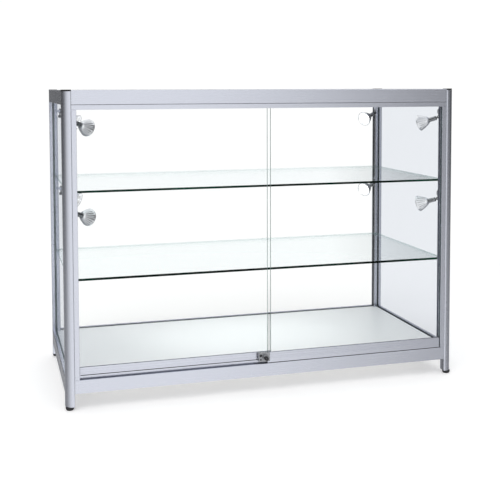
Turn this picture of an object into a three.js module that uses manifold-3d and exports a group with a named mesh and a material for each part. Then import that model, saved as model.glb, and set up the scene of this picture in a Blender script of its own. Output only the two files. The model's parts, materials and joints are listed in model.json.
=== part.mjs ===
// Glass display showcase: an aluminium frame with glass panels, two glass shelves, two sliding
// glass doors with a plunger lock, and eight swivelling spotlights.
// Millimetres, +Z up. The doors face -Y, and the origin is on the floor at the middle of the case.
import * as THREE from 'three';
import { mergeVertices } from 'three/addons/utils/BufferGeometryUtils.js';
import Module from 'manifold-3d';

const wasm = await Module();
wasm.setup();

// ---- Driving dimensions ----
const WIDTH = 1200;
const DEPTH = 560;
const HEIGHT = 900;
const GAP = 0.3; // between pieces that touch
const BITE = 1; // how far joined shapes run into each other, and a cut runs past its piece
const ROUND_SIDES = 24;
const PIN_SIDES = 12; // on pins, holes and other rounds up to PIN_LIMIT in radius
const PIN_LIMIT = 5;
const LAMP_SIDES = 16;

// Posts, their caps and their levelling feet
const POST = 26;
const POST_RADIUS = 20;
const BORE_RADIUS = 4.3;
const BORE_INSET = 12.5;
const CAP_THICKNESS = 4.5;
const PAD_HEIGHT = 9.8;
const PAD_RADIUS = 12.3;
const PAD_SOLE_RADIUS = 9;
const PAD_SHOULDER_RADIUS = 11.3;
const PAD_SHOULDER = 0.35; // share of the pad's height
const PAD_EDGE = 0.75;
const STUD_RADIUS = 4;
const STUD_TOP = 40;
const SPIGOT_RADIUS = 4;
const SPIGOT_LENGTH = 12;

// Glass panels and the slots that hold them
const PANE = 5;
const PANE_INSET = 13; // pane centre to outer face
const SLOT = 6;
const SLOT_DEPTH = 7.5;
const TOP_PANE = 6;
const SHELF = 6;
const REBATE = 16; // outer face to the edge that the top glass and the deck lie against

// Rails
const WALL = 3;
const RAIL_SLOT_DEPTH = 10;
const DECK_FLANGE = 8;
const BASE_LOW = 47;
const BASE_LEDGE = 92;
const DECK_TOP = 88;
const DECK_THICKNESS = 15;
const TOP_LOW = 858;
const TOP_HIGH = 898.8;
const RAIL_EDGE = 1.5; // worn-off outer corner of a rail
const DOOR_RAIL_SETBACK = 0.5;

// Door tracks: a front and a rear channel, parted by a fin
const LIP = 3;
const CHANNEL = 9.4;
const FIN = 1.6;
const TRACK_FLOOR = 76;
const TRACK_LIP_TOP = 85;
const TRACK_FIN_TOP = 94;
const TOP_TRACK_LOW = 844;
const SEAM = 1;
const JAMB = 14;
const JAMB_WEB = 1.5;
const JAMB_FLANGE = 2;

// Doors
const DOOR_OVERLAP = 14;
const DOOR_END = 566;
const DOOR_TOP = 854;
const SHOE_END = 558;
const SHOE_WIDTH = 7.6;
const SHOE_WALL = 1;
const SHOE_LOW = 79.3;
const SHOE_TOP = 117;
const SHOE_WEB_LOW = 91.2;
const SHOE_WEB_TOP = 94.5;
const ROLLER_RADIUS = 7;
const ROLLER_WIDTH = 4.8;
const AXLE_RADIUS = 1.7;
const ROLLER_INSET = 60;

// Lock on the front door
const LOCK_X = -15;
const LOCK_Z = 103;
const LOCK_LEFT = -36;
const LOCK_RIGHT = -1;
const LOCK_PLATE_LOW = 91;
const LOCK_PLATE_TOP = 118;
const LOCK_BARREL_RADIUS = 9;
const LOCK_BARREL_LENGTH = 8;
const LOCK_PLATE_RISE = 1; // of the plate above the block
const LOCK_SLOT_CLEARANCE = 2; // past the edge of the door glass
const PLUNGER_RADIUS = 5.8;
const PLUNGER_LENGTH = 22;
const PLUNGER_STANDS_OUT = 7;

// Shelves and the slotted strips that carry them and the lamps
const SHELF_LOWS = [359.7, 609.5];
const SHELF_FRONT = 248;
const SHELF_SIDE = 583;
const SHELF_CLEARANCE = 2;
const STRIP_WIDTH = 8;
const STRIP_THICKNESS = 3;
const STRIP_LOW = 330;
const STRIP_HIGH = 841;
const TONGUE_REACH = 14;
const TONGUE_THICKNESS = 2;

// Spotlights: an arm that turns in a lug of the strip, and a head that tilts on the arm
const LAMP_HEIGHTS = [553, 810];
const LAMP_X = 566;
const LAMP_Y = 245;
const FRONT_LAMP_YAW = Math.PI / 4; // from the long axis, inwards
const REAR_LAMP_YAW = Math.PI / 6;
const LAMP_DROOP = 0.3; // angle below level at rest
const PIN_RADIUS = 2.3;
const PIN_RISE = 27;
const COLLAR_RADIUS = 4;
const COLLAR_THICKNESS = 2;
const LUG = 9;
const LUG_LOW = 14; // above the tilt axis
const LUG_HIGH = 22;
const FORK_RADIUS = 5;
const FORK_GAP = 4.6;
const FORK_WIDTH = 9;
const FORK_BRIDGE = 2;
const PIVOT_RADIUS = 1.5;
const PIVOT_HEAD = 0.5;
const BOSS_RADIUS = 2.6;
const TANG_HEIGHT = 4.8;
const TANG_ROOT = 3; // inside the socket
const SOCKET_RADIUS = 6.8;
const SOCKET_START = 8;
const SOCKET_END = 33;
const SOCKET_BEVEL = 1.5;
const SOCKET_BEVEL_LENGTH = 2;
const BOWL_DEPTH = 34;
const BOWL_RADIUS = 25;
const NECK_RADIUS = 8;
const BOWL_STEPS = 6;
const BOWL_CURVE = 0.72;
const BOWL_SHARE = 0.92; // the rest of the depth is the straight rim
const RIM_THICKNESS = 1.6;
const FRONT_RADIUS = 22.6;
const FRONT_RECESS = 2;

// Transformer under the deck
const TRANSFORMER = [150, 62, 24];
const TRANSFORMER_AT = [380, 120];
const INLET_WIDTH = 24;
const INLET_DEPTH = 12;
const INLET_FLOOR = 5;
const INLET_ROOF = 3;

const HALF_WIDTH = WIDTH / 2;
const HALF_DEPTH = DEPTH / 2;
const QUARTER = Math.PI / 2;
const DOOR_SPAN = WIDTH - 2 * POST;
const SIDE_SPAN = DEPTH - 2 * POST;
const DOOR_FACE = -HALF_DEPTH + DOOR_RAIL_SETBACK;
const FRONT_TRACK_Y = DOOR_FACE + LIP + CHANNEL / 2;
const REAR_TRACK_Y = FRONT_TRACK_Y + CHANNEL + FIN;
const FIN_START = LIP + CHANNEL;
const REAR_CHANNEL_START = FIN_START + FIN;
const REAR_LIP_START = REAR_CHANNEL_START + CHANNEL;

// ---- Materials ----
const aluminium = new THREE.MeshStandardMaterial({
  color: 0xc9cad2,
  roughness: 0.38,
  metalness: 0.9,
});
const glass = new THREE.MeshStandardMaterial({
  color: 0xdfeeea,
  roughness: 0.03,
  metalness: 0,
  transparent: true,
  opacity: 0.25,
});
const whiteBoard = new THREE.MeshStandardMaterial({ color: 0xf4f5f6, roughness: 0.5 });
const blackPlastic = new THREE.MeshStandardMaterial({ color: 0x141416, roughness: 0.55 });
const chrome = new THREE.MeshStandardMaterial({
  color: 0xd8dade,
  roughness: 0.12,
  metalness: 1,
});
const nylon = new THREE.MeshStandardMaterial({ color: 0xe6e4dc, roughness: 0.45 });

// ---- Helpers ----
const showcase = new THREE.Group();
showcase.name = 'glass_display_showcase';

function addMesh(parent, name, geometry, material) {
  const mesh = new THREE.Mesh(geometry, material);
  mesh.name = name;
  parent.add(mesh);
  return mesh;
}

// A box between two corners, given in any order.
function box(from, to) {
  const low = new THREE.Vector3(...from).min(new THREE.Vector3(...to));
  const high = new THREE.Vector3(...from).max(new THREE.Vector3(...to));
  const size = high.clone().sub(low);
  const middle = high.clone().add(low).multiplyScalar(0.5);
  const geometry = new THREE.BoxGeometry(size.x, size.y, size.z);
  return geometry.translate(middle.x, middle.y, middle.z);
}

function outline(points) {
  return new THREE.Shape(points.map(([x, y]) => new THREE.Vector2(x, y)));
}

function rectangle(x0, y0, x1, y1) {
  return outline([[x0, y0], [x1, y0], [x1, y1], [x0, y1]]);
}

function extrude(shape, length) {
  return new THREE.ExtrudeGeometry(shape, {
    depth: length,
    bevelEnabled: false,
    curveSegments: ROUND_SIDES / 4,
  });
}

// A rail section is drawn in Y and Z and runs along X, centred on X = 0.
function alongX(shape, length) {
  const turn = new THREE.Matrix4().makeBasis(
    new THREE.Vector3(0, 1, 0),
    new THREE.Vector3(0, 0, 1),
    new THREE.Vector3(1, 0, 0),
  );
  return extrude(shape, length).applyMatrix4(turn).translate(-length / 2, 0, 0);
}

function cylinder(radius, height) {
  const sides = radius > PIN_LIMIT ? ROUND_SIDES : PIN_SIDES;
  return new THREE.CylinderGeometry(radius, radius, height, sides);
}

function cylinderZ(radius, low, high, x = 0, y = 0) {
  return cylinder(radius, high - low).rotateX(QUARTER).translate(x, y, (low + high) / 2);
}

function cylinderY(radius, low, high, x = 0, z = 0) {
  return cylinder(radius, high - low).translate(x, (low + high) / 2, z);
}

// A turned piece: the profile's points are radius and height, and it starts and ends on the axis.
function turned(profile, sides) {
  const points = profile.map(([radius, height]) => new THREE.Vector2(radius, height));
  return new THREE.LatheGeometry(points, sides).rotateX(QUARTER);
}

function solid(geometry) {
  const bare = geometry.clone();
  bare.deleteAttribute('normal');
  bare.deleteAttribute('uv');
  const merged = mergeVertices(bare, 1e-4);
  const mesh = new wasm.Mesh({
    numProp: 3,
    vertProperties: new Float32Array(merged.attributes.position.array),
    triVerts: new Uint32Array(merged.index.array),
  });
  return new wasm.Manifold(mesh);
}

function fromSolid(body) {
  const mesh = body.getMesh();
  const geometry = new THREE.BufferGeometry();
  geometry.setAttribute('position', new THREE.BufferAttribute(mesh.vertProperties, 3));
  geometry.setIndex(new THREE.BufferAttribute(mesh.triVerts, 1));
  const faceted = geometry.toNonIndexed();
  faceted.computeVertexNormals();
  return faceted;
}

function join(...geometries) {
  return fromSolid(geometries.map(solid).reduce((whole, next) => whole.add(next)));
}

function cut(geometry, ...tools) {
  return fromSolid(tools.map(solid).reduce((rest, tool) => rest.subtract(tool), solid(geometry)));
}

// ---- Sections: Y is counted inwards from the outer face at 0 ----
function cavity(section, y0, z0, y1, z1) {
  section.holes.push(rectangle(y0, z0, y1, z1));
  return section;
}

function baseRailSection() {
  const lip = PANE_INSET - SLOT / 2;
  const slotEnd = REBATE + GAP;
  const seat = DECK_TOP - DECK_THICKNESS - GAP;
  const slotFloor = BASE_LEDGE - RAIL_SLOT_DEPTH;
  const section = outline([
    [0, BASE_LOW],
    [POST, BASE_LOW],
    [POST, seat],
    [slotEnd, seat],
    [slotEnd, slotFloor],
    [lip, slotFloor],
    [lip, BASE_LEDGE],
    [RAIL_EDGE, BASE_LEDGE],
    [0, BASE_LEDGE - RAIL_EDGE],
  ]);
  return cavity(section, WALL, BASE_LOW + WALL, POST - WALL, seat - WALL);
}

function topRailSection() {
  const slotStart = PANE_INSET - SLOT / 2;
  const slotEnd = PANE_INSET + SLOT / 2;
  const slotTop = TOP_LOW + RAIL_SLOT_DEPTH;
  const seat = TOP_HIGH - TOP_PANE - GAP;
  const section = outline([
    [0, TOP_LOW],
    [slotStart, TOP_LOW],
    [slotStart, slotTop],
    [slotEnd, slotTop],
    [slotEnd, TOP_LOW],
    [POST, TOP_LOW],
    [POST, seat],
    [REBATE, seat],
    [REBATE, TOP_HIGH],
    [RAIL_EDGE, TOP_HIGH],
    [0, TOP_HIGH - RAIL_EDGE],
  ]);
  return cavity(section, WALL, slotTop + WALL, POST - WALL, seat - WALL);
}

function doorBaseRailSection() {
  const seat = DECK_TOP - DECK_THICKNESS - GAP;
  const flange = POST + DECK_FLANGE;
  const section = outline([
    [0, BASE_LOW],
    [POST, BASE_LOW],
    [POST, seat - WALL],
    [flange, seat - WALL],
    [flange, seat],
    [POST, seat],
    [POST, DECK_TOP],
    [REAR_LIP_START, DECK_TOP],
    [REAR_LIP_START, TRACK_FLOOR],
    [REAR_CHANNEL_START, TRACK_FLOOR],
    [REAR_CHANNEL_START, TRACK_FIN_TOP],
    [FIN_START, TRACK_FIN_TOP],
    [FIN_START, TRACK_FLOOR],
    [LIP, TRACK_FLOOR],
    [LIP, TRACK_LIP_TOP],
    [RAIL_EDGE, TRACK_LIP_TOP],
    [0, TRACK_LIP_TOP - RAIL_EDGE],
  ]);
  return cavity(section, WALL, BASE_LOW + WALL, POST - WALL, seat - 2 * WALL);
}

function doorTopRailSection() {
  const seat = TOP_HIGH - TOP_PANE - GAP;
  const channelTop = TOP_LOW + SEAM;
  const section = outline([
    [0, TOP_TRACK_LOW],
    [LIP, TOP_TRACK_LOW],
    [LIP, channelTop],
    [FIN_START, channelTop],
    [FIN_START, TOP_TRACK_LOW],
    [REAR_CHANNEL_START, TOP_TRACK_LOW],
    [REAR_CHANNEL_START, channelTop],
    [REAR_LIP_START, channelTop],
    [REAR_LIP_START, TOP_TRACK_LOW],
    [POST, TOP_TRACK_LOW],
    [POST, seat],
    [REBATE, seat],
    [REBATE, TOP_HIGH],
    [RAIL_EDGE, TOP_HIGH],
    [0, TOP_HIGH - RAIL_EDGE],
    [0, TOP_LOW + SEAM / 2],
    [SEAM, TOP_LOW + SEAM / 2],
    [SEAM, TOP_LOW - SEAM / 2],
    [0, TOP_LOW - SEAM / 2],
  ]);
  return cavity(section, WALL, channelTop + WALL, POST - WALL, seat - WALL);
}

// The post's outer corner is at the section's origin, and the case lies towards -X and -Y.
function postSection(withSlots) {
  const slotNear = -PANE_INSET + SLOT / 2;
  const slotFar = -PANE_INSET - SLOT / 2;
  const slotEnd = -POST + SLOT_DEPTH;
  const section = new THREE.Shape();
  section.moveTo(-POST, 0);
  if (withSlots) {
    section.lineTo(-POST, slotNear);
    section.lineTo(slotEnd, slotNear);
    section.lineTo(slotEnd, slotFar);
    section.lineTo(-POST, slotFar);
  }
  section.lineTo(-POST, -POST);
  if (withSlots) {
    section.lineTo(slotFar, -POST);
    section.lineTo(slotFar, slotEnd);
    section.lineTo(slotNear, slotEnd);
    section.lineTo(slotNear, -POST);
    const bore = new THREE.Path();
    bore.absarc(-BORE_INSET, -BORE_INSET, BORE_RADIUS, 0, 2 * Math.PI, true);
    section.holes.push(bore);
  }
  section.lineTo(0, -POST);
  section.lineTo(0, -POST_RADIUS);
  section.absarc(-POST_RADIUS, -POST_RADIUS, POST_RADIUS, 0, QUARTER, false);
  return section;
}

// ---- Corners: post, cap and foot, the same at each corner but turned ----
const postLow = PAD_HEIGHT + GAP;
const postHigh = HEIGHT - CAP_THICKNESS - GAP;
const postGeometry = extrude(postSection(true), postHigh - postLow).translate(0, 0, postLow);
const capPlate = extrude(postSection(false), CAP_THICKNESS).translate(0, 0, postHigh + GAP);
const capGeometry = join(
  capPlate,
  cylinderZ(SPIGOT_RADIUS, postHigh - SPIGOT_LENGTH, HEIGHT - BITE, -BORE_INSET, -BORE_INSET),
);
const footProfile = [
  [0, 0],
  [PAD_SOLE_RADIUS, 0],
  [PAD_SHOULDER_RADIUS, PAD_HEIGHT * PAD_SHOULDER],
  [PAD_RADIUS, PAD_HEIGHT * PAD_EDGE],
  [PAD_RADIUS, PAD_HEIGHT],
  [STUD_RADIUS, PAD_HEIGHT],
  [STUD_RADIUS, STUD_TOP],
  [0, STUD_TOP],
];
const footGeometry = turned(footProfile, ROUND_SIDES);

const corners = [
  { place: 'rear_right', x: 1, y: 1, turn: 0 },
  { place: 'rear_left', x: -1, y: 1, turn: 1 },
  { place: 'front_left', x: -1, y: -1, turn: 2 },
  { place: 'front_right', x: 1, y: -1, turn: 3 },
];

function addCorner({ place, x, y, turn }) {
  const corner = new THREE.Group();
  corner.position.set(x * HALF_WIDTH, y * HALF_DEPTH, 0);
  corner.rotation.z = turn * QUARTER;
  showcase.add(corner);
  addMesh(corner, `post_${place}`, postGeometry, aluminium);
  addMesh(corner, `post_cap_${place}`, capGeometry, blackPlastic);
  const foot = addMesh(corner, `levelling_foot_${place}`, footGeometry, blackPlastic);
  foot.position.set(-BORE_INSET, -BORE_INSET, 0);
}

// ---- Sides: each is drawn with its outer face towards -Y, then turned into place ----
function addSide(place, turn, half, span, doorSide) {
  const side = new THREE.Group();
  side.rotation.z = turn * QUARTER;
  showcase.add(side);
  const length = span - 2 * GAP;
  const baseSection = doorSide ? doorBaseRailSection() : baseRailSection();
  const topSection = doorSide ? doorTopRailSection() : topRailSection();
  const base = addMesh(side, `base_rail_${place}`, alongX(baseSection, length), aluminium);
  const top = addMesh(side, `top_rail_${place}`, alongX(topSection, length), aluminium);
  const setback = doorSide ? DOOR_RAIL_SETBACK : 0;
  base.position.y = -half + setback;
  top.position.y = -half + setback;
  if (doorSide) {
    return;
  }
  const reach = span / 2 + SLOT_DEPTH - 2 * GAP;
  const low = BASE_LEDGE - RAIL_SLOT_DEPTH + GAP;
  const high = TOP_LOW + RAIL_SLOT_DEPTH - GAP;
  const pane = box([-reach, -PANE / 2, low], [reach, PANE / 2, high]);
  addMesh(side, `glass_${place}`, pane, glass).position.y = -half + PANE_INSET;
}

// ---- Flat pieces with notched corners ----
function notchedPlate(halfX, frontY, rearY, notchX, notchY, frontNotch) {
  const right = [
    [halfX, notchY],
    [notchX, notchY],
    [notchX, rearY],
  ];
  const mirror = ([x, y]) => [-x, y];
  const flip = ([x, y]) => [x, -y];
  const start = frontNotch ? right.map(flip).reverse() : [[halfX, frontY]];
  const half = [...start, ...right];
  return outline([...half, ...half.map(mirror).reverse()]);
}

function addTopGlass() {
  const clear = 2 * GAP;
  const halfX = HALF_WIDTH - REBATE - GAP;
  const halfY = HALF_DEPTH - REBATE - GAP - DOOR_RAIL_SETBACK;
  const plate = notchedPlate(
    halfX,
    -halfY,
    halfY,
    HALF_WIDTH - POST - clear,
    HALF_DEPTH - POST - clear,
    true,
  );
  const top = addMesh(showcase, 'glass_top', extrude(plate, TOP_PANE), glass);
  top.position.z = TOP_HIGH - TOP_PANE;
}

function addDeck() {
  const clear = 2 * GAP;
  const halfX = HALF_WIDTH - REBATE - 2 * GAP;
  const rearY = HALF_DEPTH - REBATE - 2 * GAP;
  const frontY = DOOR_FACE + POST + GAP;
  const plate = notchedPlate(
    halfX,
    frontY,
    rearY,
    HALF_WIDTH - POST - clear,
    HALF_DEPTH - POST - clear,
    false,
  );
  const deck = addMesh(showcase, 'deck_board', extrude(plate, DECK_THICKNESS), whiteBoard);
  deck.position.z = DECK_TOP - DECK_THICKNESS;
}

function addShelves() {
  const rearY = HALF_DEPTH - PANE_INSET - PANE / 2 - SHELF_CLEARANCE;
  const notchX = HALF_WIDTH - POST - SHELF_CLEARANCE;
  const notchY = HALF_DEPTH - POST - STRIP_THICKNESS - SHELF_CLEARANCE;
  const plate = notchedPlate(SHELF_SIDE, -SHELF_FRONT, rearY, notchX, notchY, false);
  const geometry = extrude(plate, SHELF);
  SHELF_LOWS.forEach((low, index) => {
    const name = ['shelf_lower', 'shelf_upper'][index];
    addMesh(showcase, name, geometry, glass).position.z = low;
  });
}

// ---- Shelf strips: a flat bar on each post, with tongues under the shelves and lamp lugs ----
function addStrip({ place, x, y }) {
  const near = HALF_DEPTH - POST - GAP;
  const inner = near - STRIP_THICKNESS;
  const outerX = HALF_WIDTH - POST + GAP;
  const at = (alongSide, inwards, height) => [x * alongSide, y * inwards, height];
  const bar = box(at(outerX, near, STRIP_LOW), at(outerX + STRIP_WIDTH, inner, STRIP_HIGH));
  const tongues = SHELF_LOWS.map((low) => {
    const top = low - GAP;
    const root = at(outerX, near - BITE, top - TONGUE_THICKNESS);
    return box(root, at(outerX + STRIP_WIDTH, inner - TONGUE_REACH, top));
  });
  const lugs = LAMP_HEIGHTS.map((height) => {
    const root = at(outerX + STRIP_WIDTH / 2, near - BITE, height + LUG_LOW);
    return box(root, at(LAMP_X - LUG / 2, LAMP_Y - LUG / 2, height + LUG_HIGH));
  });
  const holes = LAMP_HEIGHTS.map((height) => cylinderZ(
    PIN_RADIUS + GAP,
    height + LUG_LOW - BITE,
    height + LUG_HIGH + BITE,
    x * LAMP_X,
    y * LAMP_Y,
  ));
  const strip = cut(join(bar, ...tongues, ...lugs), ...holes);
  addMesh(showcase, `shelf_strip_${place}`, strip, aluminium);
}

// ---- Spotlights: both pieces are drawn about the tilt axis, pointing along +X ----
function lampArm() {
  const pin = cylinderZ(PIN_RADIUS, FORK_RADIUS - BITE, PIN_RISE);
  const under = LUG_LOW - GAP;
  const over = LUG_HIGH + GAP;
  const collarLow = cylinderZ(COLLAR_RADIUS, under - COLLAR_THICKNESS, under);
  const collarHigh = cylinderZ(COLLAR_RADIUS, over, over + COLLAR_THICKNESS);
  const fork = cylinderY(FORK_RADIUS, -FORK_WIDTH / 2, FORK_WIDTH / 2);
  const mouth = box(
    [-FORK_RADIUS - BITE, -FORK_GAP / 2, -FORK_RADIUS - BITE],
    [FORK_RADIUS + BITE, FORK_GAP / 2, FORK_RADIUS - FORK_BRIDGE],
  );
  const hole = cylinderY(PIVOT_RADIUS + GAP, -FORK_WIDTH, FORK_WIDTH);
  return join(cut(fork, mouth, hole), pin, collarLow, collarHigh);
}

function lampHead() {
  const bowlEnd = SOCKET_END + BOWL_DEPTH;
  const profile = [[0, SOCKET_START]];
  profile.push([SOCKET_RADIUS - SOCKET_BEVEL, SOCKET_START]);
  profile.push([SOCKET_RADIUS, SOCKET_START + SOCKET_BEVEL_LENGTH]);
  profile.push([SOCKET_RADIUS, SOCKET_END]);
  for (let step = 0; step <= BOWL_STEPS; step += 1) {
    const share = step / BOWL_STEPS;
    const radius = NECK_RADIUS + (BOWL_RADIUS - NECK_RADIUS) * Math.pow(share, BOWL_CURVE);
    profile.push([radius, SOCKET_END + BOWL_DEPTH * BOWL_SHARE * share]);
  }
  profile.push([BOWL_RADIUS, bowlEnd]);
  profile.push([BOWL_RADIUS - RIM_THICKNESS, bowlEnd]);
  profile.push([FRONT_RADIUS, bowlEnd - FRONT_RECESS]);
  profile.push([0, bowlEnd - FRONT_RECESS]);
  const shell = turned(profile, LAMP_SIDES).rotateY(QUARTER);
  const tangThickness = FORK_GAP - 2 * GAP;
  const tang = box(
    [0, -tangThickness / 2, -TANG_HEIGHT / 2],
    [SOCKET_START + TANG_ROOT, tangThickness / 2, TANG_HEIGHT / 2],
  );
  const boss = cylinderY(BOSS_RADIUS, -tangThickness / 2, tangThickness / 2);
  const pivotReach = FORK_WIDTH / 2 + PIVOT_HEAD;
  const pivot = cylinderY(PIVOT_RADIUS, -pivotReach, pivotReach);
  return join(shell, tang, boss, pivot);
}

const armGeometry = lampArm();
const headGeometry = lampHead();

function addLamps({ place, x, y }) {
  const yaw = y < 0 ? FRONT_LAMP_YAW : REAR_LAMP_YAW;
  LAMP_HEIGHTS.forEach((height, index) => {
    const level = ['lower', 'upper'][index];
    const lamp = new THREE.Group();
    lamp.position.set(x * LAMP_X, y * LAMP_Y, height);
    lamp.rotation.z = Math.atan2(-y * Math.sin(yaw), -x * Math.cos(yaw));
    showcase.add(lamp);
    addMesh(lamp, `lamp_arm_${level}_${place}`, armGeometry, chrome);
    const head = addMesh(lamp, `lamp_head_${level}_${place}`, headGeometry, chrome);
    head.rotation.y = LAMP_DROOP;
  });
}

// ---- Door side: jambs, doors with their shoes and rollers, and the lock ----
// A jamb's section is a comb: a web against the post and three flanges around the door channels.
function addJamb(place, x) {
  const low = TRACK_LIP_TOP + GAP;
  const high = TOP_TRACK_LOW - GAP;
  const depth = POST - GAP;
  const web = x * JAMB_WEB;
  const tip = x * (JAMB - GAP);
  const comb = outline([
    [0, 0],
    [depth, 0],
    [depth, tip],
    [depth - JAMB_FLANGE, tip],
    [depth - JAMB_FLANGE, web],
    [REAR_CHANNEL_START, web],
    [REAR_CHANNEL_START, tip],
    [FIN_START, tip],
    [FIN_START, web],
    [JAMB_FLANGE, web],
    [JAMB_FLANGE, tip],
    [0, tip],
  ]);
  const toeHeight = TRACK_FIN_TOP + GAP - low;
  const behindToe = box([JAMB_FLANGE - GAP, -POST, -BITE], [POST + BITE, POST, toeHeight]);
  const geometry = cut(extrude(comb, high - low), behindToe);
  const jamb = addMesh(showcase, `jamb_${place}`, geometry, aluminium);
  jamb.rotation.z = QUARTER;
  jamb.position.set(x * (HALF_WIDTH - POST - GAP), DOOR_FACE, low);
}

function shoeGeometry(from, to, rollerPlaces) {
  const half = SHOE_WIDTH / 2;
  const slot = half - SHOE_WALL;
  const section = outline([
    [-half, SHOE_LOW],
    [-slot, SHOE_LOW],
    [-slot, SHOE_WEB_LOW],
    [slot, SHOE_WEB_LOW],
    [slot, SHOE_LOW],
    [half, SHOE_LOW],
    [half, SHOE_TOP],
    [slot, SHOE_TOP],
    [slot, SHOE_WEB_TOP],
    [-slot, SHOE_WEB_TOP],
    [-slot, SHOE_TOP],
    [-half, SHOE_TOP],
  ]);
  const bar = alongX(section, to - from).translate((from + to) / 2, 0, 0);
  const axleHoles = rollerPlaces.map((x) => cylinderY(
    AXLE_RADIUS + GAP,
    -SHOE_WIDTH,
    SHOE_WIDTH,
    x,
    TRACK_FLOOR + GAP + ROLLER_RADIUS,
  ));
  return cut(bar, ...axleHoles);
}

const rollerGeometry = join(
  cylinderY(ROLLER_RADIUS, -ROLLER_WIDTH / 2, ROLLER_WIDTH / 2),
  cylinderY(AXLE_RADIUS, -SHOE_WIDTH / 2, SHOE_WIDTH / 2),
);

function addDoor(place, side, trackY) {
  const meeting = -side * DOOR_OVERLAP / 2;
  const door = new THREE.Group();
  door.position.y = trackY;
  showcase.add(door);
  const pane = box(
    [meeting, -PANE / 2, SHOE_WEB_TOP + GAP],
    [side * DOOR_END, PANE / 2, DOOR_TOP],
  );
  addMesh(door, `door_glass_${place}`, pane, glass);
  const ends = [meeting, side * SHOE_END].sort((a, b) => a - b);
  const rollers = [ends[0] + ROLLER_INSET, ends[1] - ROLLER_INSET];
  addMesh(door, `door_shoe_${place}`, shoeGeometry(...ends, rollers), aluminium);
  rollers.forEach((x, index) => {
    const name = `door_roller_${place}_${['a', 'b'][index]}`;
    const roller = addMesh(door, name, rollerGeometry, nylon);
    roller.position.set(x, 0, TRACK_FLOOR + GAP + ROLLER_RADIUS);
  });
}

function addLock() {
  const shoeFace = FRONT_TRACK_Y - SHOE_WIDTH / 2;
  const shoeBack = FRONT_TRACK_Y + SHOE_WIDTH / 2;
  const plateFace = shoeFace - GAP - LIP;
  const barrelFace = plateFace - LOCK_BARREL_LENGTH;
  const block = box(
    [LOCK_LEFT, plateFace + BITE, LOCK_PLATE_LOW],
    [-DOOR_OVERLAP / 2 - GAP, shoeBack, LOCK_PLATE_TOP - LOCK_PLATE_RISE],
  );
  const plate = box(
    [LOCK_LEFT, plateFace, LOCK_PLATE_LOW],
    [LOCK_RIGHT, shoeFace - GAP, LOCK_PLATE_TOP],
  );
  const barrel = cylinderY(
    LOCK_BARREL_RADIUS,
    barrelFace,
    plateFace + BITE,
    LOCK_X,
    LOCK_Z,
  );
  const bore = cylinderY(
    PLUNGER_RADIUS + GAP,
    barrelFace - BITE,
    shoeBack + BITE,
    LOCK_X,
    LOCK_Z,
  );
  const glassSlot = box(
    [
      -DOOR_OVERLAP / 2 - LOCK_SLOT_CLEARANCE,
      FRONT_TRACK_Y - PANE / 2 - GAP,
      SHOE_WEB_TOP,
    ],
    [LOCK_RIGHT + BITE, shoeBack + BITE, LOCK_PLATE_TOP + BITE],
  );
  const housing = cut(join(block, plate, barrel), bore, glassSlot);
  addMesh(showcase, 'lock_housing', housing, chrome);
  const plungerFace = barrelFace - PLUNGER_STANDS_OUT;
  const plunger = cylinderY(PLUNGER_RADIUS, plungerFace, plungerFace + PLUNGER_LENGTH);
  addMesh(showcase, 'lock_plunger', plunger, chrome).position.set(LOCK_X, 0, LOCK_Z);
}

function addTransformer() {
  const [length, breadth, height] = TRANSFORMER;
  const top = DECK_TOP - DECK_THICKNESS - GAP;
  const body = box([-length / 2, -breadth / 2, top - height], [length / 2, breadth / 2, top]);
  const inlet = box(
    [length / 2 - INLET_DEPTH, -INLET_WIDTH / 2, top - height + INLET_FLOOR],
    [length / 2 + BITE, INLET_WIDTH / 2, top - INLET_ROOF],
  );
  const geometry = cut(body, inlet);
  const transformer = addMesh(showcase, 'lamp_transformer', geometry, blackPlastic);
  transformer.position.set(TRANSFORMER_AT[0], TRANSFORMER_AT[1], 0);
}

// ---- Assembly ----
addSide('door_side', 0, HALF_DEPTH, DOOR_SPAN, true);
addSide('right', 1, HALF_WIDTH, SIDE_SPAN, false);
addSide('rear', 2, HALF_DEPTH, DOOR_SPAN, false);
addSide('left', 3, HALF_WIDTH, SIDE_SPAN, false);
corners.forEach(addCorner);
corners.forEach(addStrip);
corners.forEach(addLamps);
addTopGlass();
addDeck();
addShelves();
addJamb('left', -1);
addJamb('right', 1);
addDoor('left', -1, REAR_TRACK_Y);
addDoor('right', 1, FRONT_TRACK_Y);
addLock();
addTransformer();

export default showcase;
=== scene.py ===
"""Glass display showcase: a silver aluminium frame with glass sides, top, shelves and sliding
doors, a plunger lock, and eight swivelling spotlights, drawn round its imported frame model. Lengths
in the drawing code are in millimetres and each finished mesh is in metres."""

import json
import math

import bmesh
import bpy
from mathutils import Matrix, Vector


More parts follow.
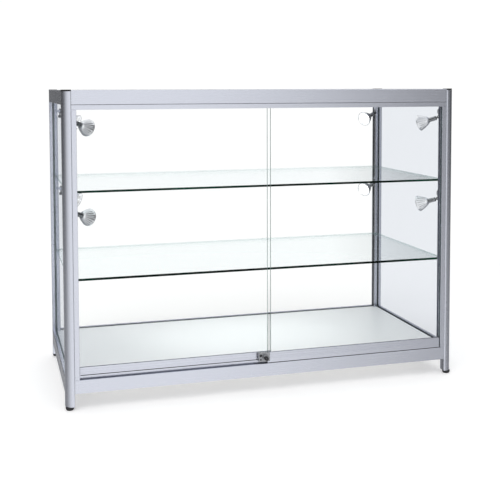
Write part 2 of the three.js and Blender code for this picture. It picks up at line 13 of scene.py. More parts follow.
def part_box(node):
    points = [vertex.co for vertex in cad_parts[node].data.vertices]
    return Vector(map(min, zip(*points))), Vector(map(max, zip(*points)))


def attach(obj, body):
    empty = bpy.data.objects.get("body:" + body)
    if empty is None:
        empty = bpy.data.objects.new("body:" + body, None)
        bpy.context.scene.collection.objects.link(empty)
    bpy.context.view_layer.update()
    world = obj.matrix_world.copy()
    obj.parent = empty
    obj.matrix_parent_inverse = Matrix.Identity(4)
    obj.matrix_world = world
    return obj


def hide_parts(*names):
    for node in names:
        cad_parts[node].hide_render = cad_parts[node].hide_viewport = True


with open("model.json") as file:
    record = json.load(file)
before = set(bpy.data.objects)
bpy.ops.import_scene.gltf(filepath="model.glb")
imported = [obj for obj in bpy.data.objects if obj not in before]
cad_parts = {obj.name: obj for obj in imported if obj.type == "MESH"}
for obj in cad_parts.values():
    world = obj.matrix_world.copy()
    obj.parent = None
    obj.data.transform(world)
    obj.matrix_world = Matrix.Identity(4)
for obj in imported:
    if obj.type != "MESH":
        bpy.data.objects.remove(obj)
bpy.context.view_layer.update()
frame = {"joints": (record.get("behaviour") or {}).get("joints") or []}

bl_info = {
    "name": "Glass Display Showcase", "version": (1, 0, 0), "blender": (4, 5, 0),
    "location": "3D View > Sidebar > Showcase",
    "description": "Draws a counter-height glass showcase round its frame model",
    "category": "Add Mesh"
}

MM = 0.001
QUARTER = math.pi / 2
IDENTITY = Matrix.Identity(4)
SECTION_TO_RAIL = Matrix(((0, 0, 1, 0), (1, 0, 0, 0), (0, 1, 0, 0), (0, 0, 0, 1)))
Z_TO_X = Matrix.Rotation(QUARTER, 4, "Y")
Z_TO_FRONT = Matrix.Rotation(QUARTER, 4, "X")
Z_TO_REAR = Matrix.Rotation(-QUARTER, 4, "X")
SWAP_YZ = Matrix(((1, 0, 0, 0), (0, 0, 1, 0), (0, 1, 0, 0), (0, 0, 0, 1)))
SWAP_XZ = Matrix(((0, 0, 1, 0), (0, 1, 0, 0), (1, 0, 0, 0), (0, 0, 0, 1)))
SMOOTH_ANGLE = math.radians(35)
FLAT_WIDTH = 2.4  # a face wider than this is shaded flat
LARGE_ROUND = 5  # a rounding larger than this has more steps and reaches further
PLATE_ANGLES = [step / 3 * QUARTER for step in range(4)]

# Each corner: its X and Y sides, and its quarter turns from the rear right one.
CORNERS = {
    "rear_right": (1, 1, 0), "rear_left": (-1, 1, 1), "front_left": (-1, -1, 2),
    "front_right": (1, -1, 3)
}
FIXED_SIDES = {"right": 1, "rear": 2, "left": 3}  # quarter turns from the door side
LEVELS = ("lower", "upper")

# Sections of the aluminium bars, in millimetres
POST = 26
POST_ROUND = 20
BORE_RADIUS = 4.3
BORE_INSET = 12.5
PANE_INSET = 13
SLOT = 6
SLOT_DEPTH = 7.5
RAIL_SLOT_DEPTH = 10
REBATE = 16
WALL = 3
GAP = 0.3
LIP = 3
CHANNEL = 9.4
FIN = 1.6
FIN_FRONT = LIP + CHANNEL
FIN_BACK = FIN_FRONT + FIN
REAR_LIP = FIN_BACK + CHANNEL
TRACK_FLOOR = 76
TRACK_LIP_TOP = 85
TRACK_FIN_TOP = 94
SEAM_HEIGHT = 858
SEAM = 1.5
SEAM_DEPTH = 2
GAP_SHADE_RISE = 1.5
# EDGE_BAND sets how far the painted dark band of a shelf's front edge reaches into its faces.
EDGE_BAND = 4.5  # how far the dark of a shelf's front edge shows in its faces
DECK_FLANGE = 8
JAMB_WEB = 1.5
JAMB_FLANGE = 2
SHOE_WALL = 1
SHOE_WEB_LOW = 91.2
SHOE_WEB_TOP = 94.5
SHOE_LINES = (99.5, 104, 111)
PAD_HEIGHT = 9.8
STUD_PITCH = 1.25


# ---- Settings ----
def colour(name, description, default):
    """A colour setting."""
    kind = {"subtype": "COLOR", "size": 3, "min": 0, "max": 1, "default": default}
    return bpy.props.FloatVectorProperty(name=name, description=description, **kind)


def length(name, description, least, most, default):
    """A length setting, in metres."""
    kind = {"subtype": "DISTANCE", "unit": "LENGTH", "min": least, "max": most, "default": default}
    return bpy.props.FloatProperty(name=name, description=description, **kind)


class ShowcaseFinishes(bpy.types.PropertyGroup):
    """Colours of the showcase's finishes."""

    aluminium: colour("Aluminium", "Colour of the anodised frame", (0.67, 0.69, 0.76))
    glass_tint: colour(
        "Glass tint", "What is left of white light after one glass face", (0.996, 0.999, 0.9985)
    )
    glass_edge: colour("Glass edge", "Colour seen in the glass edges", (0.004, 0.085, 0.05))
    board: colour("Deck board", "Colour of the faced deck board", (0.86, 0.865, 0.87))
    black: colour("Black plastic", "Colour of the caps, feet and inserts", (0.012, 0.012, 0.014))


class ShowcaseSizes(bpy.types.PropertyGroup):
    """Small sizes that the frame model leaves open."""

    bar_round: length("Bar edge", "Radius on the bars' outer edges", 0.0001, 0.002, 0.0009)
    arris: length("Glass arris", "Width of the arris on the glass edges", 0.0001, 0.002, 0.0004)
    strip_pitch: length("Strip pitch", "Spacing of the shelf strips' slots", 0.01, 0.05, 0.016)


class ShowcaseLamps(bpy.types.PropertyGroup):
    """The spotlights."""

    flutes: bpy.props.IntProperty(
        name="Flutes", description="Number of flutes round a reflector", min=6, max=40, default=18
    )
    droop: bpy.props.FloatProperty(
        name="Droop", description="Angle of the lamp heads below level in the frame model",
        subtype="ANGLE", min=0, max=1, default=0.3
    )
    power: bpy.props.FloatProperty(
        name="Power", description="Power of each spotlight's beam", subtype="POWER", unit="POWER",
        min=0, max=50, default=3.0
    )


# ---- Shader maths ----
class Signal:
    """A shader socket that Python's arithmetic works on. Each operation adds its Math node."""

    def __init__(self, tree, socket):
        self.tree = tree
        self.socket = socket

    def math(self, operation, first, second):
        return self.tree.node("Math", {"operation": operation}, {0: first, 1: second})

    def __add__(self, other):
        return self.math("ADD", self, other)

    def __radd__(self, other):
        return self.math("ADD", other, self)

    def __sub__(self, other):
        return self.math("SUBTRACT", self, other)

    def __rsub__(self, other):
        return self.math("SUBTRACT", other, self)

    def __mul__(self, other):
        return self.math("MULTIPLY", self, other)

    def __rmul__(self, other):
        return self.math("MULTIPLY", other, self)

    def __pow__(self, other):
        return self.math("POWER", self, other)


class Tree:
    """A node tree in which every node comes from node()."""

    def __init__(self, owner):
        owner.use_nodes = True
        self.nodes = owner.node_tree.nodes
        self.links = owner.node_tree.links
        self.nodes.clear()

    def node(self, kind, settings=(), sockets=(), output=0):
        made = self.nodes.new("ShaderNode" + kind)
        for setting, value in dict(settings).items():
            if setting == "stops":
                self.set_stops(made.color_ramp, value)
            else:
                setattr(made, setting, value)
        for key, value in dict(sockets).items():
            if isinstance(value, Signal):
                self.links.new(value.socket, made.inputs[key])
            else:
                made.inputs[key].default_value = value
        return Signal(self, made.outputs[output]) if made.outputs else None

    def set_stops(self, ramp, stops):
        for index, (place, value) in enumerate(stops):
            stop = ramp.elements[index] if index < 2 else ramp.elements.new(place)
            stop.position = place
            stop.color = (value, value, value, 1)

    def place(self, stretch):
        """Object coordinates times one number, or one for each axis."""
        stretch = (stretch,) * 3 if isinstance(stretch, (int, float)) else stretch
        sockets = {0: self.node("TexCoord", output="Object"), 1: stretch}
        return self.node("VectorMath", {"operation": "MULTIPLY"}, sockets)

    def noise(self, stretch, detail=2, roughness=0.5):
        sockets = {"Vector": self.place(stretch), "Scale": 1, "Detail": detail}
        return self.node("TexNoise", {}, {**sockets, "Roughness": roughness}, "Fac")

    def ramp(self, stops, factor):
        return self.node("ValToRGB", {"stops": stops}, {"Fac": factor})

    def mix(self, factor, first, second):
        sockets = {0: factor, 6: first, 7: second}
        return self.node("Mix", {"data_type": "RGBA"}, sockets, 2)

    def bump(self, height, distance, strength=1.0):
        sockets = {"Height": height, "Distance": distance, "Strength": strength}
        return self.node("Bump", {}, sockets)

    def facing(self):
        """1 at grazing and 0 straight on, the same from both sides."""
        return self.node("LayerWeight", {}, {"Blend": 0.5}, "Facing")

    def output(self, shader, kind="OutputMaterial"):
        self.node(kind, {}, {"Surface": shader})

    def surface(self, colour, roughness, metallic=0.0, **more):
        sockets = {"Base Color": colour, "Roughness": roughness, "Metallic": metallic}
        sockets.update({name.replace("_", " "): value for name, value in more.items()})
        self.output(self.node("BsdfPrincipled", {}, sockets))

    def grained(self, tones, mask, texture, roughness, relief, metallic=0):
        """A surface whose tone follows a mask, and whose roughness and relief follow a texture."""
        normal = self.bump(texture, *relief)
        rough = roughness[0] + texture * roughness[1]
        self.surface(self.mix(mask, *tones), rough, metallic, Normal=normal)

    def glassy(self, colour, roughness, reflected):
        """A shader that lets light through and mirrors the reflected share of it."""
        clear = self.node("BsdfTransparent", {}, {"Color": colour})
        sockets = {"Color": (1, 1, 1, 1), "Roughness": roughness}
        gloss = self.node("BsdfAnisotropic", {}, sockets)
        return self.node("MixShader", {}, {0: reflected, 1: clear, 2: gloss})


def shades(name, *scales):
    """A finish's colour setting, darkened or lightened by each scale."""
    setting = getattr(bpy.context.scene.showcase_finishes, name)
    return [(*(channel * scale for channel in setting), 1.0) for scale in scales]


# ---- Finishes ----
def aluminium(tree, axis):
    """Silver anodised aluminium with the fine drawn lines of an extrusion along one axis."""
    stretch = [420.0, 420.0, 420.0]
    stretch[axis] = 2.0
    lines = tree.noise(stretch, 3, 0.6)
    clouds = tree.noise(7, 3)
    tone = tree.mix(lines * 0.65 + clouds * 0.35, *shades("aluminium", 0.93, 1.06))
    normal = tree.bump(lines, 0.00004, 0.5)
    tree.surface(tone, 0.19 + lines * 0.1 + clouds * 0.04, 0.94, Normal=normal)


def glass(tree, colour, edge_on):
    """Float glass: it lets light through, reflects more at grazing, and has faint wiping marks."""
    marks = tree.noise((14, 14, 5), 4, 0.6)
    clouds = tree.noise(1.6, 3)
    gleam = tree.glassy(colour, 0.004 + marks * 0.03, 0.001 + edge_on * tree.facing() ** 5)
    haze = tree.node("BsdfDiffuse", {}, {"Color": (0.72, 0.76, 0.80, 1)})
    tree.output(tree.node("MixShader", {}, {0: marks * clouds * 0.006, 1: gleam, 2: haze}))


def glass_face(tree):
    glass(tree, *shades("glass_tint", 1), 0.34)


def side_glass_face(tree):
    # Painted shade: the side panes are the same glass as the rear one, with a greyer see-through
    # colour.
    glass(tree, (0.905, 0.917, 0.938, 1), 0.15)


def shelf_face(tree):
    """The shelves' faces: a little greener than the panes, with a faint dust on top."""
    dust = tree.noise(60, 4, 0.7)
    patches = tree.noise(5)
    reflected = 0.01 + 0.7 * tree.facing() ** 5 + dust * patches * 0.01
    tree.output(tree.glassy((0.972, 0.991, 0.989, 1), 0.006 + patches * 0.03, reflected))


def shelf_edge(tree):
    """The shelves' polished edges: deep green, with painted brighter stretches where light gathers.
    """
    along = tree.noise(3.2)
    grain = tree.noise((90, 90, 700))
    # Painted light: noise mixes a dark and a lit copy of the edge colour.
    light = tree.ramp(((0.42, 0), (0.72, 1)), along * 0.85 + grain * 0.15)
    tone = tree.mix(light, *shades("glass_edge", 0.04, 0.55))
    tree.surface(tone, 0.12 + grain * 0.1, 0, Specular_IOR_Level=0.04)


def shelf_rim(tree):
    """The shelves' side and rear edges: paler, with painted light for the case's light coming
    through.
    """
    clear = tree.node("BsdfTransparent", {}, {"Color": (0.86, 0.93, 0.92, 1)})
    # Painted light: a pale diffuse share stands in for light coming through the edge.
    pale = tree.node("BsdfDiffuse", {}, {"Color": (0.42, 0.52, 0.53, 1)})
    tree.output(tree.node("MixShader", {}, {0: 0.2 + tree.noise(9) * 0.3, 1: clear, 2: pale}))


def pane_edge(tree):
    """The panes' edges: thinner glass, so greyer and lighter than the shelves'."""
    tone = tree.mix(tree.noise(6), (0.16, 0.235, 0.215, 1), (0.33, 0.40, 0.385, 1))
    tree.surface(tone, 0.1 + tree.noise((300, 300, 60)) * 0.15, 0, Specular_IOR_Level=0.4)


def deck_face(tree):
    """White melamine facing with a fine orange-peel texture."""
    tones = shades("board", 0.97, 1.02)
    tree.grained(tones, tree.noise(4, 3), tree.noise(900), (0.32, 0.12), (0.00006, 0.6))


def deck_edge(tree):
    """Edge band of the deck, a touch greyer, with its glue line's small waves."""
    waves = tree.noise((50, 50, 400))
    tree.grained(shades("board", 0.82, 0.9), waves, waves, (0.4, 0.1), (0.0001, 0.3))


def black_plastic(tree):
    """Moulded black plastic with a fine spark-eroded grain."""
    tones = shades("black", 0.8, 1.6)
    tree.grained(tones, tree.noise(30), tree.noise(1600), (0.42, 0.2), (0.00005, 0.7))


def seal_rubber(tree):
    """Grey glazing gasket."""
    grain = tree.noise(300)
    tones = ((0.05, 0.052, 0.055, 1), (0.085, 0.087, 0.09, 1))
    tree.grained(tones, grain, grain, (0.5, 0.2), (0.00005, 0.5))


def chrome(tree):
    """Polished chrome with faint handling marks."""
    marks = tree.noise(120, 4, 0.65)
    tones = ((0.66, 0.67, 0.69, 1), (0.82, 0.83, 0.85, 1))
    tree.grained(tones, marks, marks, (0.07, 0.12), (0.00003, 0.3), 1)


def nickel(tree):
    """Dull nickel of the lamp holders and the lock, in patches of lighter and darker metal."""
    marks = tree.noise(160, 4, 0.65)
    tones = ((0.20, 0.205, 0.215, 1), (0.46, 0.47, 0.49, 1))
    tree.grained(tones, tree.noise(45), marks, (0.16, 0.2), (0.00005, 0.5), 1)


def reflector_back(tree):
    """The mirrored back of a glass reflector, with painted shade between its flutes."""
    pointed = tree.node("NewGeometry", output="Pointiness")
    # Pointiness paints the flutes: painted shade in their hollows, painted highlights on their
    # ridges.
    flute_shading = tree.ramp(((0.44, 0), (0.505, 1)), pointed)
    tones = ((0.10, 0.11, 0.13, 1), (0.93, 0.94, 0.96, 1))
    mask = flute_shading * 0.8 + tree.noise(60) * 0.2
    tree.grained(tones, mask, tree.noise(400, 3), (0.16, 0.14), (0.00008, 0.5), 0.95)


def reflector_inside(tree):
    """The faceted inside of a reflector, with a painted glow for the light that it reflects."""
    cells = tree.node("TexVoronoi", {}, {"Vector": tree.place(420), "Scale": 1.0}, "Distance")
    # Painted light: the inside glows by itself, varying by facet, in place of the burner's light it
    # reflects.
    glow = tree.mix(cells, (1.0, 0.98, 0.94, 1), (0.55, 0.56, 0.58, 1))
    more = {"Normal": tree.bump(cells, 0.0004, 0.6), "Emission_Color": glow}
    tree.surface((0.85, 0.86, 0.88, 1), 0.12 + cells * 0.1, 0.9, Emission_Strength=0.6, **more)


def lamp_glow(tree):
    """The burner: hottest in the middle of its capsule."""
    glow = tree.mix(tree.noise(500), (1.0, 0.93, 0.82, 1), (1.0, 0.99, 0.97, 1))
    tree.surface((0.9, 0.9, 0.88, 1), 0.2, 0, Emission_Color=glow, Emission_Strength=6.0)


def lamp_cover(tree):
    """The thin front glass of a lamp."""
    roughness = 0.01 + tree.noise(150, 3) * 0.05
    tree.output(tree.glassy((0.98, 0.985, 0.99, 1), roughness, 0.05 + 0.95 * tree.facing() ** 5))


def ceramic(tree):
    """The lamp's ceramic base."""
    grain = tree.noise(500, 3)
    tones = ((0.55, 0.53, 0.48, 1), (0.72, 0.70, 0.65, 1))
    tree.grained(tones, grain, grain, (0.55, 0.15), (0.0001, 0.5))


def nylon(tree):
    """Off-white nylon of the rollers."""
    grain = tree.noise(700)
    tones = ((0.62, 0.60, 0.55, 1), (0.78, 0.76, 0.71, 1))
    tree.grained(tones, grain, grain, (0.38, 0.15), (0.00005, 0.4))


def clear_bumper(tree):
    """Soft clear plastic of the shelf pads and deck beads."""
    grain = tree.noise(600)
    tone = tree.mix(grain, (0.55, 0.6, 0.6, 1), (0.7, 0.75, 0.75, 1))
    tree.surface(tone, 0.3 + grain * 0.2, 0, IOR=1.41)


MAKERS = (glass_face, side_glass_face, shelf_face, shelf_edge, shelf_rim, pane_edge)
MAKERS += (deck_face, deck_edge, black_plastic, seal_rubber, chrome, nickel, reflector_back)
MAKERS += (reflector_inside, lamp_glow, lamp_cover, ceramic, nylon, clear_bumper)


def finish(name):
    """The finish of that name, made when it is first wanted."""
    label = "showcase_" + name
    made = bpy.data.materials.get(label)
    if made is None:
        made = bpy.data.materials.new(label)
        kind, _, axis = name.partition("_")
        if kind == "aluminium":
            aluminium(Tree(made), "xyz".index(axis))
        else:
            next(maker for maker in MAKERS if maker.__name__ == name)(Tree(made))
    return made


def extent(node):
    """Lowest and highest corner of a frame node, in millimetres."""
    low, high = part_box(node)
    return low / MM, high / MM


def rounded(points, radius):
    """An outline with every corner rounded, by its own third number where it has one."""
    result = []
    for index, (x, y, *own) in enumerate(points):
        here = Vector((x, y))
        size = own[0] if own else radius
        if not size:
            result.append(here)
            continue
        neighbours = (points[index - 1], points[(index + 1) % len(points)])
        arms = [Vector(other[:2]) - here for other in neighbours]
        limit, steps = (0.8, 14) if size > LARGE_ROUND else (0.48, 3)
        arms = [arm.normalized() * min(size, arm.length * limit) for arm in arms]
        for step in range(steps + 1):
            angle = step / steps * QUARTER
            share = (1 - math.sin(angle), 1 - math.cos(angle))
            result.append(here + arms[0] * share[0] + arms[1] * share[1])
    return result


def inset(outline, distance):
    """An anticlockwise outline drawn in by a distance."""
    result = []
    for index, here in enumerate(outline):
        before = (here - outline[index - 1]).normalized()
        after = (outline[(index + 1) % len(outline)] - here).normalized()
        normals = [Vector((-way.y, way.x)) for way in (before, after)]
        middle = (normals[0] + normals[1]).normalized()
        result.append(here + middle * distance / max(middle.dot(normals[0]), 0.3))
    return result


def circle(x, y, radius, sides=16):
    angles = [2 * math.pi * side / sides for side in range(sides)]
    return [Vector((x + radius * math.cos(a), y + radius * math.sin(a))) for a in angles]


def rectangle(x0, y0, x1, y1):
    return [(x0, y0), (x1, y0), (x1, y1), (x0, y1)]


class Shape:
    """A mesh being drawn in millimetres. Each method adds a closed part in one of its finishes."""

    def __init__(self):
        self.mesh = bmesh.new()

    def paint(self, material):
        for face in self.mesh.faces:
            if not face.tag:
                face.tag = True
                face.material_index = material

    def ring(self, outline, height, place):
        return [self.mesh.verts.new(place @ Vector((x, y, height))) for x, y in outline]

    def walls(self, rings):
        """Faces between each ring and the next, down to a point where a ring is one vertex."""
        for first, second in zip(rings, rings[1:]):
            count = max(len(first), len(second))
            for index in range(count if count > 1 else 0):
                following = (index + 1) % count
                if len(first) == 1:
                    corners = (first[0], second[following], second[index])
                elif len(second) == 1:
                    corners = (first[index], first[following], second[0])
                else:
                    corners = (first[index], first[following], second[following], second[index])
                self.mesh.faces.new(corners)

    def extrusion(self, loops, low, high, place=IDENTITY):
        """A section, with its outline as the first loop and its holes as the others, along Z."""
        ends = ([], [])
        for loop in loops:
            rings = [self.ring(loop, height, place) for height in (low, high)]
            self.walls(rings)
            for end, ring in zip(ends, rings):
                pairs = zip(ring, ring[1:] + ring[:1])
                end.extend(self.mesh.edges.get(pair) for pair in pairs)
        for end in ends:
            bmesh.ops.triangle_fill(self.mesh, edges=end, use_beauty=True)
        self.paint(0)

    def plate(self, outline, low, high, edges, place=IDENTITY, rim=0):
        """A plate whose lower and upper edges are rounded by the two radii in edges."""
        levels = []
        for radius, end, inwards in ((edges[0], low, 1), (edges[1], high, -1)):
            part = [(0.0, end)]
            if radius:
                shares = [(1 - math.sin(a), 1 - math.cos(a)) for a in PLATE_ANGLES]
                part = [(radius * x, end + inwards * radius * z) for x, z in shares]
            levels += part if inwards > 0 else part[::-1]
        rings = [self.ring(inset(outline, depth), height, place) for depth, height in levels]
        self.walls(rings)
        self.paint(rim)
        self.mesh.faces.new(rings[0][::-1])
        self.mesh.faces.new(rings[-1])
        self.paint(0)

    def turned(self, profile, sides, place=IDENTITY, material=0, flutes=0, depth=0.0):
        """A profile of radius and height turned about Z, which closes on itself off the axis."""
        rings = []
        for radius, height in profile:
            outline = []
            for side in range(sides if radius else 1):
                angle = 2 * math.pi * side / sides
                reach = radius * (1 - depth * (0.5 - 0.5 * math.cos(flutes * angle)) ** 2)
                outline.append((reach * math.cos(angle), reach * math.sin(angle)))
            rings.append(self.ring(outline, height, place))
        self.walls(rings + rings[:1] if profile[0][0] > 0 else rings)
        self.paint(material)

    def block(self, low, high, bevel=0.3, place=IDENTITY, material=0):
        """A box with rounded edges."""
        ends = (Vector(map(min, low, high)), Vector(map(max, low, high)))
        size = Matrix.Diagonal((*(ends[1] - ends[0]), 1))
        matrix = place @ Matrix.Translation((ends[0] + ends[1]) / 2) @ size
        corners = bmesh.ops.create_cube(self.mesh, size=1, matrix=matrix)["verts"]
        edges = list(dict.fromkeys(edge for corner in corners for edge in corner.link_edges))
        shape = {"segments": 2, "profile": 0.5, "affect": "EDGES"}
        bmesh.ops.bevel(self.mesh, geom=edges, offset=bevel, **shape)
        self.paint(material)

    def round_faces(self):
        """For each face, whether it is part of a rounding and not a flat between narrow ones."""
        faces = self.mesh.faces
        longest = {face: max(edge.calc_length() for edge in face.edges) for face in faces}
        widths = {face: face.calc_area() / longest[face] for face in faces}
        rounds = []
        for face, width in widths.items():
            beside = [
                widths[other] for edge in face.edges if edge.is_manifold and abs(
                    edge.calc_face_angle()
                ) < SMOOTH_ANGLE for other in edge.link_faces if other is not face
            ]
            rounds.append(width < FLAT_WIDTH or any(width < 3 * other for other in beside))
        return rounds

    def finished(self, name, finishes, node=None, body="case"):
        """The piece in metres, riding on its body, in place of the frame node if it names one."""
        bmesh.ops.recalc_face_normals(self.mesh, faces=self.mesh.faces)
        rounds = self.round_faces()
        self.mesh.transform(Matrix.Scale(MM, 4))
        mesh = bpy.data.meshes.new(name)
        self.mesh.to_mesh(mesh)
        self.mesh.free()
        mesh.set_sharp_from_angle(angle=SMOOTH_ANGLE)
        mesh.polygons.foreach_set("use_smooth", rounds)
        finishes = finishes.split()
        for wanted in finishes:
            mesh.materials.append(finish(wanted))
        piece = bpy.data.objects.new(name, mesh)
        bpy.context.scene.collection.objects.link(piece)
        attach(piece, body)
        if node:
            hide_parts(node)


def small(name):
    """One of the small sizes, in millimetres."""
    return getattr(bpy.context.scene.showcase_sizes, name) / MM


def side_place(turns, node):
    """The matrix that puts a rail's section on its side of the case, and the rail's two ends."""
    turn = Matrix.Rotation(turns * QUARTER, 4, "Z")
    ends = [turn.inverted() @ corner for corner in extent(node)]
    face = min(end.y for end in ends)
    place = turn @ Matrix.Translation((0, face, 0)) @ SECTION_TO_RAIL
    return place, min(end.x for end in ends), max(end.x for end in ends)


def corner_place(place):
    """The matrix for a corner piece with its outer edge on Z and the case towards -X and -Y."""
    low, high = extent(f"post_cap_{place}")
    x, y, turns = CORNERS[place]
    edge = Vector((high.x if x > 0 else low.x, high.y if y > 0 else low.y, 0))
    return Matrix.Translation(edge) @ Matrix.Rotation(turns * QUARTER, 4, "Z")


def joint_place(name):
    """A tilt joint's frame in millimetres: X where its lamp points when level, Y the axis, Z up."""
    joint = next(row for row in frame["joints"] if row["name"] == name)
    axis = Vector(joint["axis"])
    up = Vector((0, 0, 1))
    matrix = Matrix((axis.cross(up), axis, up)).transposed().to_4x4()
    matrix.translation = Vector(joint["pos_m"]) / MM
    return matrix


# ---- Frame ----
class SHOWCASE_OT_posts(bpy.types.Operator):
    """Corner posts with glass slots and a screw bore, their caps, and the inserts in their slots"""

    bl_idname = "showcase.posts"
    bl_label = "Posts and Caps"

    def execute(self, context):
        near, far, end = -PANE_INSET + SLOT / 2, -PANE_INSET - SLOT / 2, -POST + SLOT_DEPTH
        edge = small("bar_round")
        section = [
            (-POST, 0, edge), (-POST, near, 0.3), (end, near, 0), (end, far, 0), (-POST, far, 0.3),
            (-POST, -POST, 0.5), (far, -POST, 0.3), (far, end, 0), (near, end, 0),
            (near, -POST, 0.3), (0, -POST, edge), (0, 0, POST_ROUND)
        ]
        bore = circle(-BORE_INSET, -BORE_INSET, BORE_RADIUS, 20)
        corner = [(-POST, 0, 0.8), (-POST, -POST, 0.8), (0, -POST, 0.8), (0, 0, POST_ROUND)]
        for place in CORNERS:
            matrix = corner_place(place)
            low, high = extent(f"post_{place}")
            post = Shape()
            post.extrusion([rounded(section, edge), bore], low.z, high.z, matrix)
            post.finished(f"post_bar_{place}", "aluminium_z", f"post_{place}")

            foot, top = (end.z for end in extent(f"post_cap_{place}"))
            seat = high.z + GAP
            cap = Shape()
            cap.plate(rounded(corner, 0.8), seat, top, (0, 1.1), matrix)
            spigot = [(0, foot), (3.2, foot), (4, foot + 2), (4, seat), (0, seat)]
            cap.turned(spigot, 20, matrix @ Matrix.Translation((-BORE_INSET, -BORE_INSET, 0)))
            cap.finished(f"cap_{place}", "black_plastic", f"post_cap_{place}")

            top = extent("base_rail_door_side")[0].z - 0.5
            insert = Shape()
            insert.block((-POST + 0.4, far + 0.3, low.z), (end - 0.3, near - 0.3, top), 0.4, matrix)
            insert.block((far + 0.3, -POST + 0.4, low.z), (near - 0.3, end - 0.3, top), 0.4, matrix)
            insert.finished(f"post_insert_{place}", "black_plastic")
        return {"FINISHED"}


class SHOWCASE_OT_feet(bpy.types.Operator):
    """Levelling feet: a ribbed pad on a threaded stud"""

    bl_idname = "showcase.feet"
    bl_label = "Levelling Feet"

    def execute(self, context):
        for place in CORNERS:
            node = f"levelling_foot_{place}"
            low, high = extent(node)
            centre = Matrix.Translation(((low.x + high.x) / 2, (low.y + high.y) / 2, low.z))
            radius, top = (high.x - low.x) / 2, high.z - low.z
            pad = [
                (0, 0), (radius - 3.6, 0), (radius - 2.9, 0.4), (radius - 1.1, 3.2),
                (radius - 0.3, 5.6), (radius, 7.4), (radius, 9.0), (radius - 0.7, PAD_HEIGHT),
                (0, PAD_HEIGHT)
            ]
            foot = Shape()
            foot.turned(pad, 96, centre, 0, 24, 0.035)
            thread = [(0, PAD_HEIGHT - 0.5)]
            for turn in range(int((top - PAD_HEIGHT) / STUD_PITCH)):
                base = PAD_HEIGHT + turn * STUD_PITCH
                thread += [(3.3, base), (4, base + STUD_PITCH / 2)]
            thread += [(3.3, top - 0.4), (2.6, top), (0, top)]
            foot.turned(thread, 16, centre, 1)
            foot.finished(f"foot_pad_{place}", "black_plastic chrome", node, f"foot_{place}")
        return {"FINISHED"}


